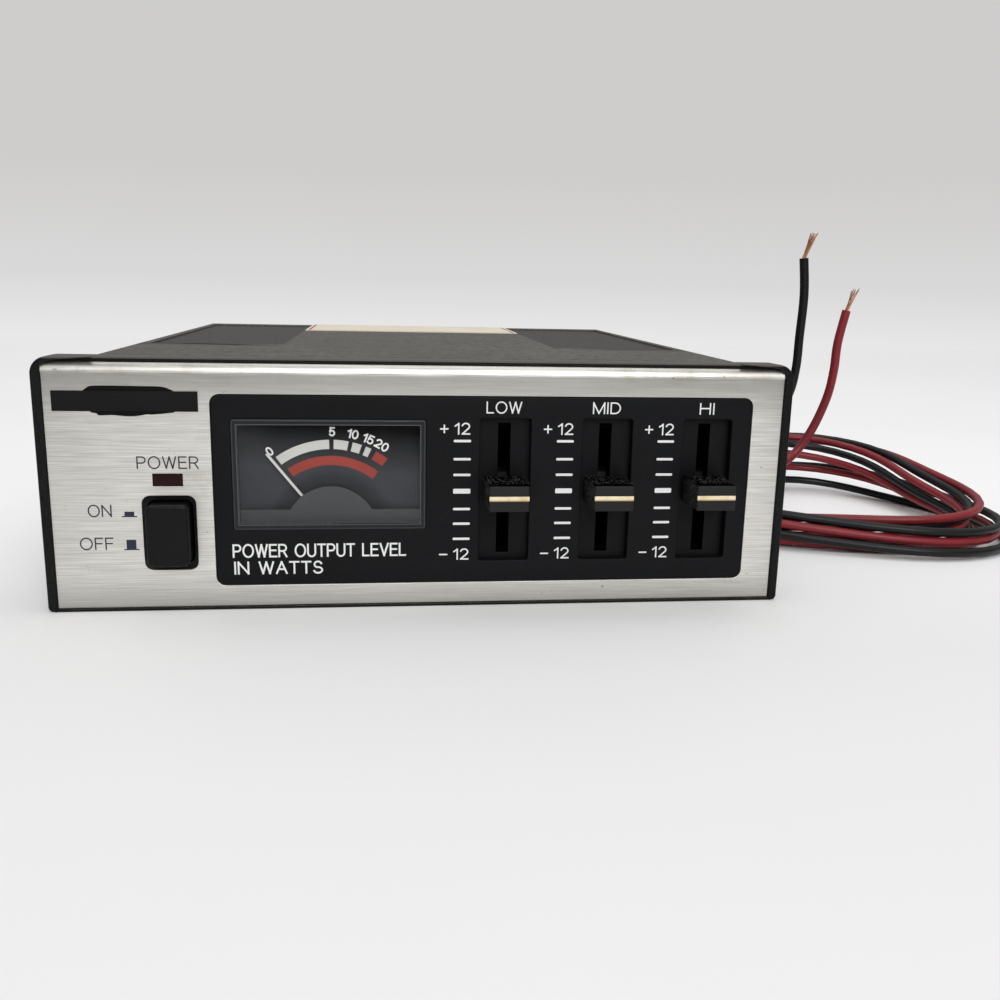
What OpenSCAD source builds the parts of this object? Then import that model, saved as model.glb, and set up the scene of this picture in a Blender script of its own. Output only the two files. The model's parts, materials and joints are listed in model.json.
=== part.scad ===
// Car equalizer amplifier that hangs under a dashboard: a level meter, three tone sliders and a push
// switch in a moulded front frame, a steel case, and a pair of supply leads.
// Pieces are drawn backwards from the face of the front plate (y = 0), then moved so that the middle of
// the base is the origin. +X is right as seen from the front, +Y is the rear and +Z is up.

/* [Case] */
// Height of the steel case
case_h = 50.5; // [46:0.5:60]
// Distance from the face of the front plate to the rear of the case
case_d = 140; // [138:1:180]
// Thickness of the steel sheet
sheet = 1; // [0.8:0.1:1.2]
// Outer bend radius along the top edges of the cover
bend_r = 1.5; // [1.3:0.1:3]
// Gap between sheet parts that slide into each other
sheet_gap = 0.1; // [0.05:0.05:0.2]
// Depth of the two stamped recesses in the top
recess_depth = 0.6; // [0.4:0.1:0.9]
// Distance from the face of the front plate to the recesses
recess_front = 41; // [30:1:60]
// Distance from the recesses to the rear of the case
recess_rear = 4; // [3:0.5:20]
// Half the width of the strip left between the recesses
recess_inner = 32; // [20:1:45]
// Distance from the recesses to the sides of the case
recess_side = 3; // [3:0.5:10]

/* [Label] */
// Width of the blank label on the top
label_w = 63; // [30:1:64]
// Depth of the blank label on the top
label_d = 34; // [15:1:60]
// Distance from the label to the rear of the case
label_rear = 2; // [1:0.5:20]
// Thickness of the label
label_t = 0.2; // [0.1:0.05:0.4]

/* [Mounting] */
// Radius of the bracket holes in the sides
bracket_r = 2.6; // [2.1:0.1:3.2]
// Distance between the two bracket holes on a side
bracket_pitch = 50; // [30:1:70]
// Distance from the face of the front plate to the middle of the bracket holes
bracket_y = 85; // [75:1:95]
// Height of the bracket holes above the base
bracket_z = 32; // [28:0.5:38]
// Width across the flats of the bracket nuts
nut_af = 9; // [8.5:0.5:10]
// Thickness of the bracket nuts
nut_t = 4; // [3:0.5:5]

/* [Front frame] */
// How far the frame stands out beyond each side of the case
frame_overhang = 10; // [6:0.5:20]
// How far the frame stands up above the case
frame_rise = -0.1; // [-0.3:0.1:3]
// Depth of the frame behind the face of the plate
frame_depth = 6; // [5.5:0.1:7]
// How far the cheeks stand out in front of the plate
frame_proud = 0.5; // [0.2:0.1:1.5]
// Width of the cheeks beside the plate
cheek_t = 1.8; // [1.2:0.1:3]
// Thickness of the lip above the plate
top_lip = 0.6; // [0.6:0.1:1.5]
// Thickness of the lip below the plate
bottom_lip = 0.6; // [0.4:0.1:1]
// Radius of the upper corners of the frame
frame_top_r = 2; // [1:0.1:3]
// Radius of the lower corners of the frame
frame_bottom_r = 1; // [0.5:0.1:2]
// Thickness of the wall behind the plate
bulkhead_t = 2.5; // [2:0.1:3]
// Height of the ledge that carries the front of the cover
ledge_h = 2.5; // [2:0.1:3]
// Depth of the ledge that carries the front of the cover
ledge_d = 6; // [4:0.5:10]

/* [Face plate] */
// Thickness of the face plate
plate_t = 1; // [0.8:0.1:1.2]
// Outer radius of the rolled top edge
roll_r = 2.4; // [1.8:0.1:3]
// Width of the bare strip at the upper left
badge_w = 27; // [20:0.5:30]
// Height of the bare strip at the upper left
badge_h = 3.9; // [3:0.1:6]
// Distance from the strip to the left edge of the plate
badge_inset = 1.7; // [0.5:0.1:4]
// Distance from the top of the plate to the middle of the strip
badge_drop = 7.8; // [6:0.1:12]
// Thickness of the strip
badge_t = 0.3; // [0.1:0.1:0.5]

/* [Control panel] */
// Width of the black control panel
panel_w = 109; // [98:0.5:122]
// Height of the black control panel
panel_h = 38.4; // [35:0.1:42]
// Width of the strip of plate left of the panel, with the power switch
switch_strip = 30.9; // [30:0.1:36]
// Width of the strip of plate right of the panel
panel_margin = 6.5; // [4:0.1:9]
// How far the middle of the panel lies below the middle of the frame
panel_drop = 1.0; // [0.8:0.1:1.8]
// Corner radius of the panel
panel_r = 1.8; // [1:0.1:3]
// How far the panel's face lies behind the plate's face
panel_sink = 0.25; // [0.1:0.05:0.4]
// Thickness of the panel
panel_t = 1.75; // [1.5:0.05:2]
// Width of the flange behind the plate
panel_flange = 1; // [0.6:0.1:1.2]
// Gap round pieces that sit in an opening
fit_gap = 0.1; // [0.05:0.01:0.15]

/* [Sliders] */
// Distance from the rim of the meter to the first slider
slider_gap = 14.6; // [13:0.1:18]
// Distance from the last slider to the right edge of the panel
slider_inset = 9.2; // [9:0.1:11]
// Travel of a slider from end to end
slider_travel = 20; // [15:0.5:21]
// Width of the well round a slider
well_w = 10.4; // [9.6:0.1:12]
// Height of the well round a slider
well_h = 29.6; // [28.5:0.1:31]
// Depth of the well
well_depth = 2.2; // [1.8:0.1:2.5]
// Thickness of the floor of the well
well_wall = 0.9; // [0.8:0.1:1.2]
// Width of the slot in the well
slot_w = 2.5; // [2.2:0.1:3]
// Height of the slot in the well
slot_h = 27.2; // [26:0.1:28]
// Width of the lever
lever_w = 1.6; // [1.2:0.1:1.8]
// Height of the lever
lever_h = 3.2; // [2.4:0.1:3.6]
// Width of the knob at its front
knob_w = 7.9; // [6:0.1:8.2]
// Width of the knob at its root
knob_root_w = 8.4; // [6:0.1:8.8]
// Height of the knob
knob_h = 5.2; // [4.8:0.1:7]
// How far the knob stands out in front of the plate
knob_out = 8; // [5:0.5:12]
// Height of the light line across the knob
line_h = 1; // [0.5:0.1:2]
// Depth of the light line in the knob
line_d = 0.5; // [0.3:0.1:1]
// How far the line stands out of the knob
line_proud = 0.1; // [0.05:0.05:0.2]
// Width of a slide control's can
pot_w = 9; // [8:0.1:9.4]
// Depth of a slide control's can
pot_d = 8.5; // [8:0.1:10]
// Wall of a slide control's can
pot_wall = 1; // [0.8:0.1:1.2]
// Gap round moving pieces
move_gap = 0.3; // [0.2:0.05:0.4]

/* [Meter] */
// Width of the meter window
lens_w = 38; // [34:0.1:38.5]
// Height of the meter window
lens_h = 22.2; // [20:0.1:22.4]
// Height of the middle of the window above the middle of the panel
lens_rise = 3.3; // [3:0.1:3.6]
// Distance from the middle of the meter to the left edge of the panel
meter_inset = 22.7; // [22.2:0.1:24]
// Wall of the clear lens
lens_wall = 1; // [0.8:0.1:1.2]
// How far the lens stands out of the panel
lens_proud = 0.45; // [0.2:0.05:1]
// Height of the hidden part of the lens below the window
lens_skirt = 7.9; // [7.4:0.1:8.4]
// Width of the rim of the lens behind the panel
lens_rim = 1.5; // [1.2:0.1:1.8]
// Depth of the lens behind the panel
lens_d = 6; // [5.5:0.1:6.5]
// Distance from the needle's pivot to the lower edge of the window
pivot_drop = 1.2; // [0.8:0.1:1.6]
// Length of the needle from its pivot
needle_len = 20.4; // [16:0.1:20.8]
// Width of the needle
needle_w = 0.5; // [0.4:0.1:0.8]
// Angle of the resting needle from upright
needle_rest = 38.5; // [30:0.5:42]
// Radius of the dark half-round mask over the pivot
mask_r = 9.4; // [8:0.1:11]
// Thickness of the mask, the needle and the dial
leaf_t = 0.3; // [0.2:0.05:0.4]
// Radius of the needle's shaft
shaft_r = 0.8; // [0.6:0.05:1]
// Running clearance of the shaft and the switch plunger
run_gap = 0.05; // [0.02:0.01:0.08]
// Radius of the drum that holds the movement
drum_r = 9; // [8.8:0.1:9.2]
// Depth of the drum that holds the movement
drum_d = 10; // [9:0.1:11]

/* [Power switch] */
// Distance from the middle of the button to the left edge of the panel
power_gap = 8.6; // [8.4:0.1:9]
// Height of the middle of the button above the base
power_z = 15.9; // [15.5:0.1:16.5]
// Width of the button cap
cap_w = 8.1; // [7:0.1:8.4]
// Height of the button cap
cap_h = 12.3; // [11:0.1:12.5]
// How far the cap stands out in front of the plate
cap_out = 3.2; // [3.1:0.1:5]
// Corner radius of the cap
cap_r = 1.2; // [0.6:0.1:2]
// Travel of the button
cap_travel = 3; // [2:0.1:3]
// Gap between the cap and the edge of the opening in the plate
cap_reveal = 1.1; // [0.6:0.1:1.2]
// Radius of the switch plunger
plunger_r = 1.8; // [1.5:0.1:2]
// Wire diameter of the button's spring
spring_wire = 0.5; // [0.4:0.05:0.6]
// Turns of the button's spring
spring_turns = 5; // [4:1:6]

/* [Pilot lamp] */
// Width of the lamp
led_w = 5.5; // [4:0.1:6]
// Height of the lamp
led_h = 2.3; // [2:0.1:2.6]
// Height of the middle of the lamp above the middle of the button
led_rise = 10.7; // [10.6:0.1:11]

/* [Boards] */
// Thickness of the circuit boards
board_t = 1.6; // [1.2:0.1:2]
// Distance from the main board to the sides of the cover
board_side = 6; // [4:0.5:7]
// Distance from the face of the plate to the main board
board_front = 21; // [20.5:0.5:23]
// Height of the underside of the main board above the sheet
standoff_h = 6; // [5.5:0.1:6.5]
// Radius of the standoffs
standoff_r = 3; // [2.5:0.1:4]
// Shank radius of the small screws
screw_r = 1.2; // [1:0.05:1.3]
// Head radius of the small screws
head_r = 2; // [1.8:0.1:2.1]
// Head height of the small screws
head_h = 1.5; // [1:0.1:1.6]
// Shank radius of the cover screws
cover_screw_r = 1.4; // [1.2:0.05:1.5]
// Head radius of the cover screws
cover_head_r = 2.8; // [2.4:0.1:3.2]
// Head height of the cover screws
cover_head_h = 1.6; // [1:0.1:2]

/* [Grommets] */
// Height of the grommets above the base
grommet_z = 16; // [14:0.5:22]
// Distance of the grommets from the sides of the case
grommet_side = 20; // [19:0.5:21]
// Radius of the grommet holes in the rear panel
grommet_r = 5; // [4:0.1:6]
// Width of the grommet flanges
grommet_lip = 1.5; // [1:0.1:2]
// Thickness of the grommet flanges
grommet_t = 2; // [1.5:0.1:2.5]

/* [Leads] */
// Diameter of a lead
lead_d = 2.3; // [2:0.1:2.3]
// Diameter of the bare copper
copper_d = 1.3; // [0.8:0.1:1.6]

/* [Hidden] */
$fn = 48;

// overall places
frame_w = switch_strip + panel_w + panel_margin + 2 * cheek_t;
case_w = frame_w - 2 * frame_overhang;
frame_h = case_h + frame_rise;
plate_w = frame_w - 2 * cheek_t;
plate_top = frame_h - top_lip;
bulkhead_back = plate_t + bulkhead_t;
case_half = case_w / 2;
inner_half = case_half - sheet;
inner_top = case_h - sheet;
knob_front = -knob_out - line_proud;
rear_end = case_d + grommet_t;
mid_y = (rear_end + knob_front) / 2;
overlap = 0.5;
tap_gap = 0.05;
blind_wall = 0.3;
screw_short = 0.4;
hole_gap = 0.3;
cover_foot = 0.3;

// places on the face
panel_x = plate_w / 2 - panel_margin - panel_w / 2;
panel_z = frame_h / 2 - panel_drop;
panel_left = panel_x - panel_w / 2;
panel_right = panel_x + panel_w / 2;
panel_face = panel_sink;
panel_back = panel_face + panel_t;
meter_x = panel_left + meter_inset;
lens_z = panel_z + lens_rise;
lens_bottom = lens_z - lens_h / 2;
lens_top = lens_z + lens_h / 2;
rim_w = lens_w + 2 * lens_rim;
rim_z = [lens_bottom - lens_skirt, lens_top + lens_rim];
first_slider = meter_x + rim_w / 2 + slider_gap;
slider_pitch = (panel_right - slider_inset - first_slider) / 2;
slider_x = [for (i = [0:2]) first_slider + i * slider_pitch];
post_x = [for (i = [0, 1]) (slider_x[i] + slider_x[i + 1]) / 2];
power_x = panel_left - power_gap;
led_z = power_z + led_rise;
badge_z = plate_top - badge_drop;

// window in the wall behind the plate, for what passes through it, and the pocket behind it
window_gap = 0.3;
window_r = 1;
well_half = well_h / 2 + well_wall;
window_x = [meter_x - rim_w / 2 - window_gap, slider_x[2] + well_w / 2 + well_wall + window_gap];
window_z = [min(rim_z[0], panel_z - well_half) - window_gap, max(rim_z[1], panel_z + well_half) + window_gap];
board_half = inner_half - board_side;
pocket_x = [-board_half, window_x[1]];
collar_t = 1.5;
collar_low = power_z - cap_h / 2 - move_gap - collar_t;
flange_h = min(window_z[0], collar_low) - window_gap;
flange_screw_in = 14;
flange_screw_x = [flange_screw_in - inner_half, 0, inner_half - flange_screw_in];
flange_screw_z = (sheet + flange_h) / 2;

// layers of a slider, from the front to the rear
well_floor = panel_face + well_depth;
well_back = well_floor + well_wall;
well_r = 0.6;
pot_front = well_back + move_gap;
pot_back = pot_front + pot_d;
carriage_h = lever_h + 2.8;
lever_room = 0.9;
carriage_w = lever_w + 4;
carriage_y = [pot_front + pot_wall + move_gap, pot_back - pot_wall - move_gap];
pot_room_h = slider_travel + carriage_h + 1;
pot_end = 1;
pot_h = pot_room_h + 2 * (pot_wall + pot_end);
knob_root = well_floor - 0.55;
knob_wall = 1.2;
knob_grip = 0.05;
lever_front = knob_wall + line_d - knob_out;
board_back = pot_back + board_t;
board_edge = 0.4;
board_x = [slider_x[0] - pot_w / 2 - board_edge, slider_x[2] + pot_w / 2 + board_edge];
board_z = [panel_z - pot_h / 2 - board_edge, panel_z + pot_h / 2 + board_edge];
post_rise = 12;
post_z = [panel_z - post_rise, panel_z + post_rise];
post_r = 2.2;
screw_grip = 5.6;

// layers of the meter, from the front to the rear
lens_face = panel_face - lens_proud;
lens_glass = 1.2;
lens_r = 0.5;
lens_back = panel_back + lens_d;
mask_y = panel_back + lens_wall;
mask_rise = 3.4;
needle_y = mask_y + leaf_t + 0.35;
dial_y = needle_y + leaf_t + 0.7;
meter_front = dial_y + leaf_t + 0.1;
block_d = 4;
block_back = meter_front + block_d;
block_w = rim_w - 2 * lens_wall - 2 * fit_gap;
block_z = [rim_z[0] + lens_wall + fit_gap, rim_z[1] - lens_wall - fit_gap];
pivot_z = lens_bottom - pivot_drop;
drum_wall = 1.2;
drum_back = block_back + drum_d;
magnet_r = drum_r - drum_wall - fit_gap;
drum_front = lens_back + fit_gap;
magnet_y = [drum_front + drum_wall, drum_back - 2 * drum_wall];
coil_r = 4.7;
coil_half = coil_r - 0.3;
coil_t = 3;
shaft_stub = 0.3;
hub_gap = 0.02;
coil_air = 0.6;
coil_y = [magnet_y[0] + coil_air, magnet_y[1] - coil_air];
coil_bar = 1.4;
strap_t = 1;
strap_lift = 6.8;
strap_h = 6;
strap_reach = 4.2;
strap_z = [pivot_z + drum_r + strap_lift, pivot_z + drum_r + strap_lift + strap_h];
strap_mid = (strap_z[0] + strap_z[1]) / 2;
strap_x = [panel_left - strap_reach, meter_x + rim_w / 2 + strap_reach];

// layers of the power switch, from the front to the rear
cap_back = 13;
cap_head = 0.6;
cap_soft = 0.4;
collar_back = 9;
switch_front = board_front;
switch_d = 14;
switch_w = 9;
plunger_back = switch_front + 7.5;
spring_seat = 0.1;
spring_r = plunger_r + 1 + spring_wire / 2;
led_front = -0.1;
led_back = 7.5;
led_flange = 0.6;
led_flange_t = 1.2;
led_board_y = 10;
leg_r = 0.3;
leg_pitch = 2.54;
led_post_r = 1.5;
led_post_x = 6;

// places inside the case
board_low = sheet + standoff_h;
board_top = board_low + board_t;
board_end = 5.5;
board_rear = case_d - board_end;
standoff_in = 4;
standoff_front = 21;
standoff_rear = 8.5;
standoff_x = board_half - standoff_in;
standoff_y = [board_front + standoff_front, board_rear - standoff_rear];
ear_d = 8;
ear_gap = 0.4;
ear_w = 9;
ear_z = [board_z[1] + ear_gap, inner_top - sheet_gap - ledge_h / 2];
ear_x = inner_half - ear_w;
tab_d = 10;
tab_low = 5;
tab_h = 10;
tab_z = [tab_low, tab_low + tab_h];
cover_screws_at = [
    [frame_depth + ear_d / 2, (ear_z[0] + ear_z[1]) / 2],
    [case_d - sheet - tab_d / 2, (tab_z[0] + tab_z[1]) / 2]
];
bracket_at = [for (s = [-1, 1]) bracket_y + s * bracket_pitch / 2];
heat_t = 3;
heat_w = 56;
heat_gap = 2.5;
heat_low = 12;
heat_room = 5;
grommet_x = case_half - grommet_side;
heat_left = grommet_r + grommet_lip + heat_gap - grommet_x;
heat_x = [heat_left, heat_left + heat_w];
heat_z = [heat_low, inner_top - heat_room];
heat_front = case_d - sheet - heat_t;
heat_screw_in = 4;
heat_screw_x = [heat_x[0] + heat_screw_in, heat_x[1] - heat_screw_in];
heat_screw_z = 28;
chip_in = 11;
chip_step = 26;
chip_x = [heat_x[0] + chip_in, heat_x[0] + chip_in + chip_step];
chip_w = 10.2;
chip_t = 4.4;
chip_low = 15;
chip_h = 15;
chip_z = [chip_low, chip_low + chip_h];
chip_pitch = 1.7;
chip_tab_h = 6;
chip_tab_t = 1.3;
chip_screw_z = chip_z[1] + chip_tab_h / 2;
big_can_r = 8;
big_can_h = 26;
big_can_in = 18;
big_can_pitch = 18;
big_can_rear = 40;
small_can_r = 4;
small_can_h = 12;
small_can_mid = 8;
small_can_pitch = 14;
small_can_rear = 80;
big_can_x = [for (i = [0, 1]) board_half - big_can_in - i * big_can_pitch];
small_can_x = [for (i = [-1:1]) small_can_mid + i * small_can_pitch];
can_y = [case_d - small_can_rear, case_d - big_can_rear];
choke_ring = 9;
choke_core = 4;
choke_in = 20;
choke_x = choke_in - board_half;
ribbon_gap = 1.5;
ribbon_half = slider_pitch / 2 - head_r - ribbon_gap;
ribbon_t = 0.8;
ribbon_drop = 5;
ribbon_rise = 4;

// leads: the black one lies in lane 0 of the hank, the red one inside it in lane 1
lead_r = lead_d / 2;
lead_bore = lead_r + 0.05;
lead_x = [grommet_x + 1.5, grommet_x - 1.5];
floor_gap = 0.05;
hank_out = 53.5;
hank_x = case_half + hank_out;
hank_y = 73;
hank_r = 46;
hank_lobe = 0.12;
hank_lobe_at = 40;
hank_shift = 10;
hank_tilt = 0.14;
hank_front = 41.4;
hank_turns = 4;
hank_pitch = 7.3;
hank_eps = 0.005;
loop_rings = 24;
lane_step = 3.1;
layer_step = 3;
tail_points = [
    [
        [lead_x[0], case_d - 3, grommet_z], [lead_x[0], case_d + 2, grommet_z],
        [lead_x[0], case_d + 7, grommet_z], [grommet_x + 4, case_d + 11.5, grommet_z - 0.6],
        [grommet_x + 9, case_d + 14, grommet_z - 1.8], [case_half - 5, case_d + 13.5, 12.6],
        [case_half + 0.5, case_d + 9.5, 11.2], [case_half + 4, case_d + 2, 10],
        [case_half + 5, 132, 9.2], [case_half + 5, 120, 8.8], [case_half + 5, 108, 8.6],
        [case_half + 5, 98, 8.6]
    ],
    [
        [lead_x[1], case_d - 3, grommet_z], [lead_x[1], case_d + 2, grommet_z],
        [lead_x[1], case_d + 7, grommet_z], [grommet_x + 0.5, case_d + 13, grommet_z - 0.6],
        [grommet_x + 6, case_d + 17.5, grommet_z - 1.8], [case_half - 5, case_d + 17.8, 12.6],
        [case_half + 3, case_d + 13.5, 11.2], [case_half + 7.6, case_d + 4, 10],
        [case_half + 8.6, 132, 9.2], [case_half + 8.4, 120, 8.8], [case_half + 8, 108, 8.6],
        [case_half + 8, 98, 8.6]
    ]
];
end_points = [
    [
        [3.5, 62, 11.5], [7, 55.5, 14.5], [14, 52, 18.5], [23, 53, 24], [30.5, 56.5, 31], [35, 59.5, 38],
        [36.4, 60, 45], [36.6, 60, 53], [36.9, 60, 64], [36, 60, 73.5]
    ],
    [
        [6.5, 63, 10.8], [10, 58, 13], [17, 55, 15.5], [25, 56, 17], [32.5, 58.5, 18.5], [38.3, 60, 21.5],
        [42.5, 60, 28.3], [45.8, 60, 36.7], [47.1, 60, 44], [47.5, 60, 51.7], [49.1, 60, 60.2]
    ]
];
tip_points = [[38.4, 60, 80.2], [51.4, 60, 66.2]];

function about(middle, half) = [middle - half, middle + half];
function unit(v) = v / norm(v);
function ramp(u) = let (c = min(max(u, 0), 1)) c * c * (3 - 2 * c);
function total(v, i = 0) = i < len(v) ? v[i] + total(v, i + 1) : 0;

// Point of the hank after t turns: a rounded three-sided loop that spirals in on the lower layer and out on
// the upper one, and climbs in the half turn where the spiral reverses
function hank_in(t) = hank_pitch * (hank_turns / 2 - abs(hank_turns / 2 - t));
function hank_layer(t) = ramp((t - hank_turns / 2) * 2 + 0.5);
function hank_point(t, lane) =
    let (
        a = 180 + 360 * t,
        lobe = 1 + hank_lobe * cos(3 * (a + hank_lobe_at + hank_shift * hank_layer(t))),
        r = hank_r * lobe - hank_in(t) - lane * lane_step,
        y = hank_y + r * sin(a)
    )
    [
        hank_x + r * cos(a),
        y,
        lead_r + floor_gap + hank_tilt * (y - hank_y + hank_front) + layer_step * hank_layer(t)
    ];
function hank_loops(lane) = [for (i = [0:hank_turns * loop_rings]) hank_point(i / loop_rings, lane)];
function hank_way(t, lane) = unit(hank_point(t + hank_eps, lane) - hank_point(t - hank_eps, lane));
function hank_start(lane) = hank_point(0, lane) - lead_d * hank_way(hank_eps, lane);
function hank_end(lane) = hank_point(hank_turns, lane) + lead_d * hank_way(hank_turns - hank_eps, lane);
function hank_path(lane) = concat([hank_start(lane)], hank_loops(lane), [hank_end(lane)]);

// Smooth curve through hand-chosen points, with n rings for each stretch between two of them
function bend(a, b, c, d, u) =
    0.5 * (2 * b + (c - a) * u + (2 * a - 5 * b + 4 * c - d) * u * u + (3 * b - a - 3 * c + d) * u * u * u);
function smooth(p, n) = concat(
    [for (i = [0:len(p) - 2]) for (k = [0:n - 1])
        bend(p[max(i - 1, 0)], p[i], p[i + 1], p[min(i + 2, len(p) - 1)], k / n)],
    [p[len(p) - 1]]
);
function tail_path(lane) = smooth(
    concat(tail_points[lane], [hank_start(lane) - 3 * lead_d * hank_way(hank_eps, lane), hank_start(lane)]), 2
);
function end_path(lane) = smooth(
    concat(
        [hank_end(lane), hank_end(lane) + 2 * lead_d * hank_way(hank_turns - hank_eps, lane)],
        [for (p = end_points[lane]) p + [case_half, 0, 0]]
    ),
    2
);
function path_length(p) = total([for (i = [1:len(p) - 1]) norm(p[i] - p[i - 1])]);

// Least gap between stretches of a tube that are more than a quarter loop apart
function self_gap(p) = min([for (i = [0:len(p) - 1]) for (j = [i + loop_rings / 4:1:len(p) - 1])
    norm(p[i] - p[j])]) - lead_d;
function pair_gap(p, q) = min([for (a = p) for (b = q) norm(a - b)]) - lead_d;

// Rings of a tube along points p, carried along without twist
function way(p, i) = unit(p[min(i + 1, len(p) - 1)] - p[max(i - 1, 0)]);
function carry(n, t) = unit(n - (n * t) * t);
function normals(p) = [
    for (i = 0, n = carry([0.1, 0.2, 1], way(p, 0)); i < len(p);
        i = i + 1, n = carry(n, way(p, min(i, len(p) - 1)))) n
];
function rings(p, r, sides) =
    let (n = normals(p))
    [for (i = [0:len(p) - 1]) let (b = cross(way(p, i), n[i])) for (k = [0:sides - 1])
        p[i] + r * (cos(360 * k / sides) * n[i] + sin(360 * k / sides) * b)];

// Moves what is drawn from the plate's face to the origin under the middle of the object
module at_origin() {
    translate([0, -mid_y, 0]) children();
}

// Box between two limits on each axis
module span(x, y, z) {
    translate([x[0], y[0], z[0]]) cube([x[1] - x[0], y[1] - y[0], z[1] - z[0]]);
}

// Rectangle with round corners
module rounded(w, h, r) {
    square([w - 2 * r, h], center = true);
    square([w, h - 2 * r], center = true);
    for (sx = [-1, 1], sy = [-1, 1]) translate([sx * (w / 2 - r), sy * (h / 2 - r)]) circle(r);
}

// Outline drawn in X and Z, carried from y0 to y1
module along_y(y0, y1) {
    translate([0, y1, 0]) rotate([90, 0, 0]) linear_extrude(y1 - y0) children();
}

// Slab with round corners, facing the front
module slab(x, z, w, h, r, y) {
    along_y(y[0], y[1]) translate([x, z]) rounded(w, h, r);
}

// Round rod along Y
module rod_y(x, z, r, y) {
    along_y(y[0], y[1]) translate([x, z]) circle(r);
}

// Round rod along X
module rod_x(y, z, r, x) {
    translate([x[0], y, z]) rotate([0, 90, 0]) cylinder(r = r, h = x[1] - x[0]);
}

// Screw along Y with its head at the rear
module screw_y(x, z, y, grip) {
    rod_y(x, z, head_r, [y, y + head_h]);
    rod_y(x, z, screw_r, [y - grip, y + overlap]);
}

// Unbroken tube along points p
module tube(p, r, sides) {
    last = (len(p) - 1) * sides;
    polyhedron(
        rings(p, r, sides),
        concat(
            [for (i = [0:len(p) - 2]) for (k = [0:sides - 1])
                [i * sides + k, (i + 1) * sides + (k + 1) % sides, i * sides + (k + 1) % sides]],
            [for (i = [0:len(p) - 2]) for (k = [0:sides - 1])
                [i * sides + k, (i + 1) * sides + k, (i + 1) * sides + (k + 1) % sides]],
            [for (k = [1:sides - 2]) [0, k, k + 1]],
            [for (k = [1:sides - 2]) [last, last + k + 1, last + k]]
        )
    );
}

module frame_outline() {
    half = frame_w / 2;
    translate([-half, frame_bottom_r]) square([frame_w, frame_h - frame_top_r - frame_bottom_r]);
    translate([frame_bottom_r - half, 0]) square([frame_w - 2 * frame_bottom_r, frame_h / 2]);
    translate([frame_top_r - half, frame_h / 2]) square([frame_w - 2 * frame_top_r, frame_h / 2]);
    for (s = [-1, 1]) {
        translate([s * (half - frame_bottom_r), frame_bottom_r]) circle(frame_bottom_r);
        translate([s * (half - frame_top_r), frame_h - frame_top_r]) circle(frame_top_r);
    }
}

module front_frame() {
    color("#1c1c1e") at_origin() difference() {
        union() {
            difference() {
                along_y(-frame_proud, frame_depth) frame_outline();
                span([-plate_w / 2, plate_w / 2], [-frame_proud - 1, plate_t], [bottom_lip, frame_h + 1]);
                span([-plate_w / 2, plate_w / 2], [0, roll_r], [plate_top - roll_r, plate_top]);
                span(pocket_x, [bulkhead_back, frame_depth + 1], window_z);
            }
            span([-ear_x - overlap, ear_x + overlap], [frame_depth - overlap, frame_depth + ledge_d],
                [inner_top - sheet_gap - ledge_h, inner_top - sheet_gap]);
            for (s = [-1, 1]) on_side(s)
                span([ear_x, inner_half - sheet_gap], [frame_depth - overlap, frame_depth + ear_d], ear_z);
            slab(power_x, power_z, cap_w + 2 * (move_gap + collar_t), cap_h + 2 * (move_gap + collar_t),
                cap_r + move_gap + collar_t, [bulkhead_back - overlap, collar_back]);
            rod_y(strap_x[0], strap_mid, post_r, [bulkhead_back - overlap, block_back]);
            for (s = [-1, 1])
                rod_y(power_x + s * led_post_x, led_z, led_post_r, [bulkhead_back - overlap, led_board_y]);
        }
        slab(panel_x, panel_z, panel_w + 2 * panel_flange, panel_h + 2 * panel_flange,
            panel_r + panel_flange, [0, panel_back]);
        slab((window_x[0] + window_x[1]) / 2, (window_z[0] + window_z[1]) / 2, window_x[1] - window_x[0],
            window_z[1] - window_z[0], window_r, [0, bulkhead_back + 1]);
        slab(power_x, power_z, cap_w + 2 * move_gap, cap_h + 2 * move_gap, cap_r + move_gap,
            [0, collar_back + 1]);
        span(about(power_x, led_w / 2 + fit_gap), [0, frame_depth + 1],
            about(led_z, led_h / 2 + fit_gap));
        rod_y(strap_x[0], strap_mid, screw_r + tap_gap, [block_back - screw_grip + 1, block_back + 1]);
        for (x = flange_screw_x)
            rod_y(x, flange_screw_z, screw_r + tap_gap, [panel_back + blind_wall, frame_depth + 1]);
        for (s = [-1, 1]) on_side(s)
            rod_x(cover_screws_at[0][0], cover_screws_at[0][1], cover_screw_r + tap_gap,
                [ear_x - 1, frame_w / 2]);
    }
}

// Draws a piece of the right side, or its mirror image on the left
module on_side(s) {
    mirror([s < 0 ? 1 : 0, 0, 0]) children();
}

module face_plate() {
    color("#cfcdc8") at_origin() difference() {
        union() {
            span([-plate_w / 2, plate_w / 2], [0, plate_t], [bottom_lip, plate_top - roll_r]);
            translate([-plate_w / 2, roll_r, plate_top - roll_r]) rotate([90, 0, 90])
                linear_extrude(plate_w) intersection() {
                    difference() {
                        circle(roll_r);
                        circle(roll_r - plate_t);
                    }
                    translate([-roll_r, 0]) square(roll_r);
                }
        }
        slab(panel_x, panel_z, panel_w + 2 * fit_gap, panel_h + 2 * fit_gap, panel_r + fit_gap,
            [-1, plate_t + 1]);
        slab(power_x, power_z, cap_w + 2 * cap_reveal, cap_h + 2 * cap_reveal + cap_head, cap_r + cap_soft,
            [-1, plate_t + 1]);
        span(about(power_x, led_w / 2 + fit_gap), [-1, plate_t + 1], about(led_z, led_h / 2 + fit_gap));
    }
}

module badge_strip() {
    left = badge_inset - plate_w / 2;
    color("#161617") at_origin()
        span([left, left + badge_w], [-badge_t, 0], about(badge_z, badge_h / 2));
}

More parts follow.
